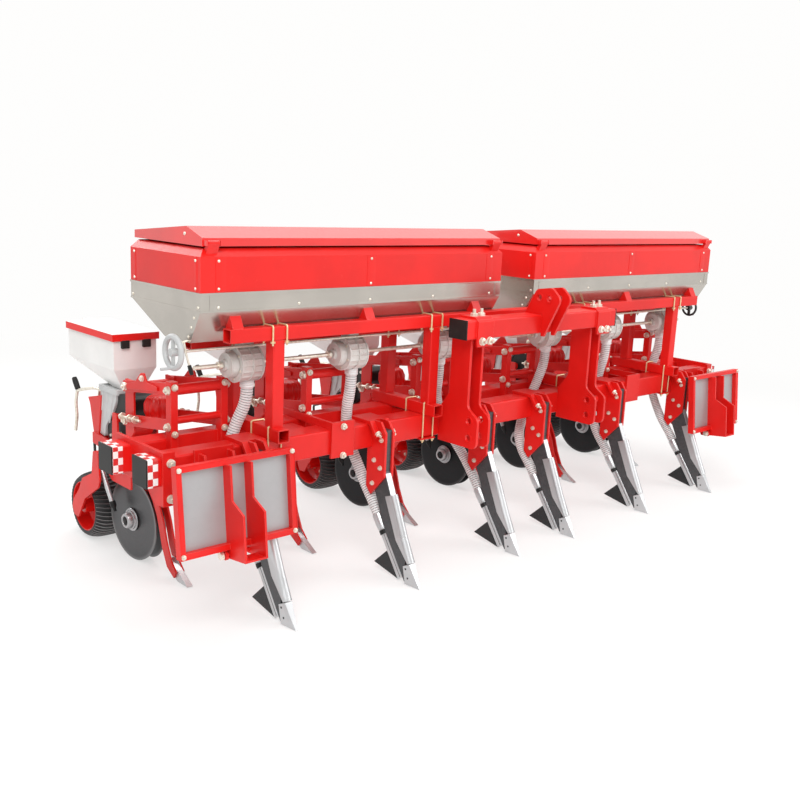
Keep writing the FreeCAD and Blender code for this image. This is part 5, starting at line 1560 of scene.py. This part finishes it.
# ---- metering
@dataclass
class MeterFittings(SubAssembly):
    """Fluted shells, flanges, hubs and screws of the six fertiliser meters."""

    drum: float = 0.062
    ring_inner: float = 0.058
    ring_outer: float = 0.0675
    ring_width: float = 0.005
    screw_circle: float = 0.0545
    start: float = -0.0315
    end: float = 0.0635
    flutes: int = 18
    hub: Rows = ((-0.076, 0.0135), (-0.076, 0.02), (-0.064, 0.0225), (-0.0635, 0.036),
                 (-0.058, 0.0475), (-0.034, 0.0485))
    collar: Rows = ((-0.096, 0.0083), (-0.096, 0.015), (-0.082, 0.015), (-0.082, 0.0083))
    lever: Rows = ((-1.62, -0.04, 0.992), (0.004, -0.006, -0.04), (0.008, -0.008, -0.04))
    handle: Rows = ((-0.03, 0.0, -0.006), (0.024, 0.0, 0.006))
    grip: Rows = ((0.0, 0.0048), (0.002, 0.007), (0.022, 0.0076), (0.034, 0.0068),
                  (0.036, 0.004))

    def fluted(self, x: float) -> Form:
        """Return a fluted drum shell.

        The radius at an angle t is R + h max(0, cos(n t))^3, drawn in at both ends.
        """
        rows = np.array(((self.start - 0.001, 0.95), (self.start + 0.003, 1.0),
                         (self.start + 0.03, 1.0), (self.end - 0.003, 1.0),
                         (self.end + 0.001, 0.95)))
        angle = np.linspace(0.0, math.tau, 144, endpoint=False)
        radius = self.drum + 0.0012 + 0.003 * np.maximum(0.0, np.cos(self.flutes * angle)) ** 3
        return skin(wheel_grid(x + rows[:, 0:1], rows[:, 1:2] * radius[None], angle,
                               PLAN.meter_y, PLAN.meter_z))

    def build(self) -> None:
        """Build the shells, flanges, hubs, screws and shaft collars of all meters."""
        shells, rings, hubs, screws, collars = [], [], [], [], []
        for x in PLAN.meters:
            centre = (x, PLAN.meter_y, PLAN.meter_z)
            shells.append(self.fluted(x))
            for near in (self.start, (self.start + self.end) / 2, self.end - self.ring_width):
                far = near + self.ring_width
                rings.append(hoop(((near, self.ring_inner), (near, self.ring_outer),
                                   (far, self.ring_outer), (far, self.ring_inner)),
                                  centre, ALONG, sides=60))
            hubs.append(lathe(self.hub, centre, ALONG, sides=40))
            screws += wheel_spots(x + self.start - 0.001, PLAN.meter_y, PLAN.meter_z,
                                  self.screw_circle, start=20)
            collars.append(hoop(self.collar, centre, ALONG, sides=24))
        self.piece("meter_shells", shells, MILKY)
        self.piece("meter_rings", rings, MILKY, angle=30)
        self.piece("meter_hubs", hubs, MILKY, angle=30)
        self.piece("meter_screws", bolts(screws, (-1, 0, 0), size=0.0042), WHITE_ZINC)
        self.piece("shaft_collars", collars, WHITE_ZINC, angle=30)
        self._lever()

    def _lever(self) -> None:
        """Build the setting lever with its black grip and its cross handle at the left end."""
        foot, knee, tip = np.cumsum(self.lever, axis=0) + (0.0, PLAN.meter_y, 0.0)
        bars = [[foot, knee, tip], [foot + end for end in self.handle]]
        self.piece("setting_lever", rods(bars, radius=0.004, sides=8, across=BACK, bend=0.01),
                   WHITE_ZINC)
        self.piece("setting_grip", lathe(self.grip, tip, unit(tip - knee), sides=16), BLACK)


# ---- shanks
@dataclass
class ShankFittings(SubAssembly):
    """Guards, shares, tubes, sleeves and rings of the six fertiliser shanks.

    Places are offsets and heights in millimetres. Each guard row is the rear edge of a cheek
    and then the nose, from the top down; a sleeve's and a ring's rows run down from the tube's
    top, in metres.
    """

    guard_rows: tuple[Rows, ...] = (((-88.0, 332.0), (-133.0, 349.5)),
                                    ((-163.0, 168.0), (-206.0, 185.5)),
                                    ((-236.0, 91.0), (-248.5, 96.0)))
    guard_half: float = 0.019
    share_edge: Rows = ((-212.0, 76.0), (-243.0, 91.0), (-252.0, 76.0), (-268.0, 48.0),
                        (-284.0, 22.0), (-298.0, 0.6), (-226.0, 5.0))
    share_holes: Rows = ((-226.0, 68.0), (-238.0, 32.0))
    tube: Rows = ((-33.0, 234.0), (-188.714, 16.0))
    oval: tuple[float, float] = (0.0188, 0.0135)
    sleeve: Rows = ((-0.006, 0.0205), (-0.006, 0.0242), (0.0, 0.0245), (0.026, 0.0243),
                    (0.052, 0.0226), (0.06, 0.0212), (0.06, 0.012), (0.0, 0.012))
    ring: Rows = ((0.063, 0.012), (0.063, 0.0212), (0.08, 0.0208), (0.08, 0.012))
    seam_half: float = 0.0125
    hole: float = 0.0042
    blade_half: float = 0.0135
    blade_edge: Rows = ((-77.5, 421.0), (-80.5, 424.0), (-126.0, 323.0), (-118.0, 330.0))

    def guard(self, x: float) -> Form:
        """Return a guard: two cheeks joined by a half-round nose."""
        t = np.radians(np.linspace(-90.0, 90.0, 13))
        wide = self.guard_half * np.concatenate(([-1.0], np.sin(t), [1.0]))
        rings = []
        for row in self.guard_rows:
            rear, nose = (np.array(place(x, *spot)[1:]) for spot in row)
            length = float(np.linalg.norm(nose - rear))
            bulge = min(self.guard_half, 0.8 * length)
            reach = np.concatenate(([0.0], length - bulge + bulge * np.cos(t), [0.0]))
            flat = rear + (reach / length)[:, None] * (nose - rear)
            rings.append(np.column_stack((x + wide, flat)))
        return skin(np.stack(rings))

    @staticmethod
    def share_half(y: np.ndarray | float) -> np.ndarray | float:
        """Return half the share's thickness at a place along Y: 5 mm at its tip, then 21."""
        return 0.005 + 0.016 * np.clip((y - behind(-298.0)) / 0.082, 0.0, 1.0)

    def share(self, x: float) -> Form:
        """Return a share, which thins towards its tip."""
        flat = np.array(run(x, *self.share_edge))
        shift = self.share_half(flat[:, 1:2]) * ALONG
        return skin(np.stack((flat - shift, flat + shift)))

    def build(self) -> None:
        """Build the guards, shares, tubes, hose sleeves, black rings and tube seams."""
        sleeves, rings, tubes, holes, seams = [], [], [], [], []
        turn = np.linspace(0.0, math.tau, 28, endpoint=False)
        wave = np.stack((np.cos(turn), np.sin(turn)), axis=1)
        oval = np.array(self.oval) * np.sign(wave) * np.abs(wave) ** 0.6
        for x in PLAN.shanks:
            top, foot = np.array(run(x, *self.tube))
            down = unit(foot - top)
            across = 0.006 * np.cross(down, ALONG)
            tubes.append(sweep(np.stack((top + 0.056 * down, (top + foot) / 2, foot)), radius=1.0,
                               section=oval))
            sleeves.append(hoop(self.sleeve, top, down, sides=32))
            rings.append(hoop(self.ring, top, down, sides=32))
            seams += [[top + 0.082 * down + across + shift, foot - 0.004 * down + across + shift]
                      for shift in np.outer((-self.seam_half, self.seam_half), ALONG)]
            # painted shade: each share hole is filled by a black plug that stands for the shade inside
            # it
            for spot in run(x, *self.share_holes):
                reach = self.share_half(spot[1]) + 0.0004
                ends = (-reach, self.hole), (reach, self.hole)
                holes.append(lathe(ends, spot, ALONG, sides=16))
        for name, forms, node, look in (
                ("shank_guards", [self.guard(x) for x in PLAN.shanks], "shank_points",
                 {"angle": 30}),
                ("shank_shares", [self.share(x) for x in PLAN.shanks], "shank_points",
                 {"bevel": 0.0012}),
                ("shank_tubes", tubes, "fertiliser_tubes", {"angle": 30}),
                ("hose_sleeves", sleeves, "fertiliser_tubes", {"angle": 30})):
            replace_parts(self.piece(name, forms, POINT_STEEL, **look), node)
        self.piece("tube_rings", rings, BLACK, angle=30)
        # black plugs as painted shade in the share holes
        self.piece("share_holes", holes, BLACK_PAINT)
        self.piece("blade_edges", [plate(self.blade_edge, x - self.blade_half,
                                         2 * self.blade_half) for x in PLAN.shanks],
                   POINT_STEEL)
        self.piece("tube_seams", rods(seams, radius=0.0018, sides=6), BLACK_PAINT)


# ---- row units
@dataclass
class DiscFittings(SubAssembly):
    """Stepped hub caps with dark centres on the twelve opener discs."""

    spread: float = 0.032
    toe: float = 4.0
    cap: Rows = ((0.0065, 0.046), (0.0095, 0.0475), (0.0115, 0.046), (0.012, 0.04),
                 (0.017, 0.0385), (0.0185, 0.034), (0.03, 0.033), (0.038, 0.029),
                 (0.0395, 0.0255), (0.0395, 0.02), (0.0362, 0.0185))
    core: Rows = ((0.036, 0.0186), (0.0375, 0.018), (0.0375, 0.012), (0.0405, 0.0105),
                  (0.0412, 0.006))

    def build(self) -> None:
        """Build each disc's cap and its dark centre."""
        toe = math.radians(self.toe)
        steel = TurnedSteel("hub_steel", PLAN.disc_y, PLAN.disc_z, (0.3, 0.3, 0.31),
                            (0.62, 0.62, 0.63), outer=0.06)
        for row, x in enumerate(PLAN.rows, 1):
            for name, side in PLAN.sides:
                axis = (side * math.cos(toe), -math.sin(toe), 0.0)
                centre = (x + side * self.spread, PLAN.disc_y, PLAN.disc_z)
                for kind, rows, sides, finish in (("cap", self.cap, 48, steel),
                                                  ("core", self.core, 24, BLACK)):
                    self.piece(f"hub_{kind}_{name}_{row}", lathe(rows, centre, axis, sides),
                               finish, f"disc_{name}_{row}", angle=32)


@dataclass
class PressWheels(SubAssembly):
    """The lugged balloon tyres and dished rims of the press wheels."""

    width: float = 0.18
    crown: float = 0.138
    lug: float = 0.006
    lugs: int = 46
    wall: Rows = ((0.0898, 0.114), (0.0878, 0.107), (0.078, 0.104))
    rim: Rows = (
        (-0.087, 0.1082), (-0.0885, 0.106), (-0.087, 0.1035), (-0.06, 0.101),
        (-0.03, 0.0985), (-0.022, 0.085), (-0.012, 0.076), (-0.011, 0.034),
        (-0.09, 0.027), (-0.092, 0.025), (-0.092, 0.0125), (0.092, 0.0125),
        (0.092, 0.025), (0.09, 0.027), (-0.003, 0.034), (-0.004, 0.076),
        (-0.014, 0.087), (-0.022, 0.102), (0.06, 0.101), (0.087, 0.1035),
        (0.0885, 0.106), (0.087, 0.1082))

    def tyre(self, x: float) -> Form:
        """Return a crowned tyre with curved lugs.

        Across the tread, w from -1 to 1, the radius is C - 0.0165 |w|^3 plus a lug of height
        h s(sin(n t + 6 w^2 + 2 w)), with s a steep step and h fading at the shoulders. The
        side walls turn in to the rim.
        """
        tread = np.linspace(-1.0, 1.0, 33)[:, None]
        angle = np.linspace(0.0, math.tau, 552, endpoint=False)
        wave = np.sin(self.lugs * angle + 6.0 * tread ** 2 + 2.0 * tread)
        step = 1.0 / (1.0 + np.exp(-7.0 * (wave - 0.25)))
        fade = np.clip(1.35 - np.abs(tread) ** 4, 0.0, 1.0)
        radius = self.crown - 0.0165 * np.abs(tread) ** 3 + self.lug * fade * step
        wall = np.array(self.wall)
        reach = np.concatenate((-wall[::-1, :1], self.width / 2 * 0.985 * tread, wall[:, :1],
                                -wall[-1:, :1]))
        plain = np.ones_like(angle)
        radius = np.concatenate((wall[::-1, 1:] * plain, radius, wall[:, 1:] * plain,
                                 wall[-1:, 1:] * plain))
        return skin(wheel_grid(x + reach, radius, angle, PLAN.press_y, PLAN.press_z), False)

    def build(self) -> None:
        """Build each wheel's tyre, rim and rim bolts in place of the plain wheel."""
        for row, x in enumerate(PLAN.rows, 1):
            centre, body = (x, PLAN.press_y, PLAN.press_z), f"press_{row}"
            tyre = self.piece(f"tyre_{row}", self.tyre(x), TYRE, body, angle=60)
            rim = self.piece(f"press_rim_{row}", hoop(self.rim, centre, ALONG, sides=72), RED_FLAT,
                             body, angle=32)
            for made in (tyre, rim):
                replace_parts(made, f"press_wheel_{row}")
            spots = wheel_spots(x - 0.0115, PLAN.press_y, PLAN.press_z, radius=0.055, start=12)
            self.piece(f"rim_bolts_{row}", bolts(spots, (-1, 0, 0), size=0.0085, stub=0.004),
                       WHITE_ZINC, body, angle=30)


@dataclass
class RowUnitFittings(SubAssembly):
    """The shells, covers, housings, struts and levers of the six row units.

    Outlines and paths are offsets and heights in millimetres; a distance beside the row, such
    as the first number of a strut's end, is in metres.
    """

    shell: Rows = ((690, 702), (830, 700), (832, 668), (826, 590), (872, 564), (862, 500),
                   (800, 492), (786, 542), (728, 604), (694, 662))
    cover: Rows = ((692, 690), (598, 702), (566, 684), (562, 640), (588, 580), (640, 528),
                   (714, 494), (786, 488), (790, 540), (730, 600), (694, 656))
    gusset: Rows = ((300, 792), (376, 796), (400, 828), (424, 824), (470, 782), (540, 762),
                    (540, 744), (300, 776))
    ribs: tuple[Rows, ...] = (((716, 690), (752, 560)), ((760, 690), (790, 560)),
                              ((806, 690), (818, 600)), ((832, 556), (846, 508)))
    shell_half: float = 0.074
    cover_half: float = 0.066
    collar_half: float = 0.076
    screws: Rows = ((610, 680), (600, 600), (668, 532), (755, 506))
    gusset_x: float = 0.1005
    gusset_thick: float = 0.006
    gusset_pin: Vector = (409, 806)
    screw_x: float = 0.112
    screw_ends: Rows = ((420, 640), (590, 628))
    nuts: tuple[float, ...] = (455, 500, 560)
    strut_top: Point = (0.1, 784, 366)
    strut_foot: Point = (0.084, 724, 236)
    latch_x: float = 0.046
    latch_half: float = 0.017
    lever: Rows = ((770, 678), (905, 676), (1000, 654), (1078, 634))
    handle: Rows = ((1076, 636), (1096, 580), (1086, 520), (1104, 452))
    stay: Rows = ((912, 664), (936, 560), (948, 500))
    hook: Rows = ((880, 470), (984, 448), (1058, 424), (1052, 344))
    grip: Rows = ((0.0, 0.0085), (0.003, 0.0118), (0.04, 0.0122), (0.056, 0.0105),
                  (0.058, 0.006))
    housing_rows: Rows = ((0.632, 0.04), (0.636, 0.052), (0.66, 0.06), (0.69, 0.06),
                          (0.712, 0.05), (0.722, 0.034))
    strut_end: Rows = ((0.0, 0.0125), (0.02, 0.0125), (0.03, 0.007), (0.044, 0.006))

    def housing(self, x: float) -> Form:
        """Return the fluted red housing between the links.

        It is turned about Z with the radius R(z) (1 + 0.055 cos(14 t)).
        """
        rows = np.array(self.housing_rows)
        angle = np.linspace(0.0, math.tau, 112, endpoint=False)
        size = rows[:, 1:2] * (1.0 + 0.055 * np.cos(14 * angle))[None]
        points = np.stack((x - 0.004 + size * np.cos(angle), behind(462) + size * np.sin(angle),
                           np.broadcast_to(rows[:, 0:1], size.shape)), axis=-1)
        return skin(points)

    def build(self) -> None:
        """Build the fittings of every row unit."""
        for name, outline, half, radius, finish, bevel in (
                ("meter_casings", self.shell, self.shell_half, 0.008, GREY_SHELL, 0.005),
                ("meter_covers", self.cover, self.cover_half, 0.01, BLACK, 0.004)):
            self.piece(name, [plate(outline, x - half, 2 * half, radius) for x in PLAN.rows],
                       finish, bevel=bevel)
        self.piece("drive_housings", [self.housing(x) for x in PLAN.rows], RED_FLAT)
        self._casing_ribs()
        self._gussets()
        self._levers()
        self._struts()
        self._latches()

    def _casing_ribs(self) -> None:
        """Build the ribs and the collar on each pale casing, and the cover's screws."""
        ribs, screws = [], []
        for x, side in flanks(PLAN.rows):
            ribs += [run(x + side * self.shell_half, *rib) for rib in self.ribs]
            screws += [(*place(x + side * self.cover_half, *spot), side)
                       for spot in self.screws]
        collars = []
        for x in PLAN.rows:
            outline = rectangle((x - self.collar_half, behind(684)),
                                (x + self.collar_half, behind(838)), 0.01)
            collars.append(belt(outline, "xy", start=0.684, end=0.706, proud=0.003, inside=0.012))
        self.piece("casing_ribs", rods(ribs, radius=0.0035, sides=8), GREY_SHELL)
        self.piece("casing_collars", collars, GREY_SHELL, bevel=0.0012)
        self.piece("cover_screws", bolts(screws, None, size=0.0062), WHITE_ZINC)

    def _gussets(self) -> None:
        """Build the drilled gussets on the upper links and the adjusting screws below."""
        plates, pins, screws, nuts = [], [], [], []
        for x, side in flanks(PLAN.rows):
            inner, beside = x + side * self.gusset_x, x + side * self.screw_x
            push = side * self.gusset_thick
            plates.append(plate(self.gusset, inner, push, radius=0.005))
            pins.append((*place(inner + push, *self.gusset_pin), side))
            screws.append(run(beside, *self.screw_ends))
            nuts += [place(beside, offset, 640 - (offset - 420) * 0.07) for offset in self.nuts]
        self.piece("link_gussets", plates, RED, bevel=0.001)
        self.piece("gusset_pins", bolts(pins, None, size=0.0098, stub=0.004), WHITE_ZINC, angle=30)
        self.piece("adjusting_screws", rods(screws, radius=0.0052, sides=10), WHITE_ZINC)
        self.piece("adjusting_nuts", bolts(nuts, BACK, size=0.0125, stub=0.004),
                   WHITE_ZINC, angle=30)

    def _levers(self) -> None:
        """Build the depth lever with its black grip, its stay and the crop hook."""
        bars, grips = [], []
        for x in PLAN.rows:
            left = x - 0.062
            bars += [run(left, *self.lever), run(left, *self.handle),
                     run(left + 0.024, *self.stay)]
            grips.append(lathe(self.grip, place(left, 1070, 640), (0.0, 0.5, 0.62), sides=16))
        hooks = [run(x, *self.hook) for x in PLAN.rows]
        self.piece("depth_levers", rods(bars, radius=0.007, sides=10, bend=0.022), WHITE_ZINC)
        self.piece("lever_grips", grips, BLACK)
        self.piece("crop_hooks", rods(hooks, radius=0.0062, sides=10, bend=0.014), BLACK_PAINT)

    def _struts(self) -> None:
        """Build the bright strut beside each disc and the curved guard above it."""
        struts, ends, guards = [], [], []
        outline = np.concatenate([arc((behind(628), 0.33), *bow, 9) for bow in
                                  ((0.078, 62, 128), (0.081, 128, 62))])
        for x, side in flanks(PLAN.rows):
            top, foot = (np.array(place(x + side * beside, *spot))
                         for beside, *spot in (self.strut_top, self.strut_foot))
            struts.append((top, foot))
            ends.append(lathe(self.strut_end, foot, unit(foot - top), sides=16))
            guards.append(slab(lifted(outline, "yz", x + side * 0.06), (side * 0.048, 0, 0)))
        self.piece("bright_struts", rods(struts, radius=0.0105, sides=14), POINT_STEEL)
        self.piece("strut_ends", ends, BLACK)
        self.piece("disc_guards", guards, SHEET)

    def _latches(self) -> None:
        """Build two black latches under the front edge of each seed lid."""
        for row, x in enumerate(PLAN.rows, 1):
            forms = []
            for middle in (x - self.latch_x, x + self.latch_x):
                outline = rectangle((middle - self.latch_half, 0.876),
                                    (middle + self.latch_half, 0.908), 0.004)
                forms.append(slab(lifted(outline, "xz", behind(669) - 0.0005),
                                  (0.0, -0.012, 0.0)))
            self.piece(f"seed_latches_{row}", forms, BLACK, bevel=0.0015)


# ---- steps
@dataclass
class StepFittings(SubAssembly):
    """The galvanised panel, its corner bolts and the pin's washers of each folding step."""

    centre: float = 1.555
    axis_y: float = -0.5905
    axis_z: float = 0.296
    lean: float = -6.0
    panel_half: float = 0.2148
    bolt_half: float = 0.225
    bead: float = 0.0016
    bead_half: float = 0.2345
    bead_y: float = -0.608

    def build(self) -> None:
        """Build both steps' panels, bolts and beads, leaning as the frames do."""
        turn = turn_about(ALONG, self.lean)
        for name, side in PLAN.sides:
            x, body = side * self.centre, f"folding_step_{name}"
            pivot = (x, self.axis_y, self.axis_z)
            outline = rectangle((x - self.panel_half, 0.3372), (x + self.panel_half, 0.6078),
                                0.004)
            sheet = slab(lifted(outline, "xz", -0.5845), (0.0, 0.0052, 0.0))
            spots = [(x + end * self.bolt_half, -0.6075, z) for end in SIDES
                     for z in (0.328, 0.617)]
            left, right = x - self.bead_half, x + self.bead_half
            upright = [[(px, self.bead_y, 0.322), (px, self.bead_y, 0.623)]
                       for px in (left, right)]
            level = [[(left, self.bead_y, z), (right, self.bead_y, z)]
                     for z in (0.3175, 0.6275)]
            beads = Form.joined((rods(upright, self.bead, sides=6),
                                 rods(level, self.bead, sides=6, across=UP)))
            for kind, form, finish, bevel in (
                    ("panel", sheet, PANEL, 0.0006),
                    ("bolts", bolts(spots, AHEAD, size=0.0075, stub=0.002), WHITE_ZINC, 0.0),
                    ("beads", beads, RED_FLAT, 0.0)):
                self.piece(f"step_{kind}_{name}", form.turned(turn, pivot), finish, body, bevel)
        heads = [(x + end * 0.069, self.axis_y, self.axis_z, end)
                 for x, end in flanks((-self.centre, self.centre))]
        self.piece("step_pin_heads", bolts(heads, None, size=0.0125), WHITE_ZINC, angle=30)


# ---- assembly
def write_sizes(packed: Any, shown: Any) -> None:
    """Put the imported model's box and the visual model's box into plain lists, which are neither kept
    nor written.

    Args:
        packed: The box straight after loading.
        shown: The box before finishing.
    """
    def plain(pair: Any) -> list[list[float]]:
        """Return a box as plain lists."""
        return [[float(part) for part in corner] for corner in pair]

    {"cad": plain(packed), "visual": plain(shown)}


def main(frame: dict[str, Any]) -> None:
    """Build every sub-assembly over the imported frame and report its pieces."""
    logging.basicConfig(level=logging.INFO, format="%(name)s: %(message)s")
    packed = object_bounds()
    bpy.context.scene.view_settings.view_transform = "Standard"
    for kind in (Studio, HoseSet, ToolbarFittings, HitchFittings, HopperFittings, MeterFittings,
                 ShankFittings, DiscFittings, PressWheels, RowUnitFittings, StepFittings):
        assembly: SubAssembly = kind()
        assembly.build()
        assembly.report()
    PackedFinishes(frame["nodes"]).build()
    write_sizes(packed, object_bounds())


if __name__ == "__main__":
    main(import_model())
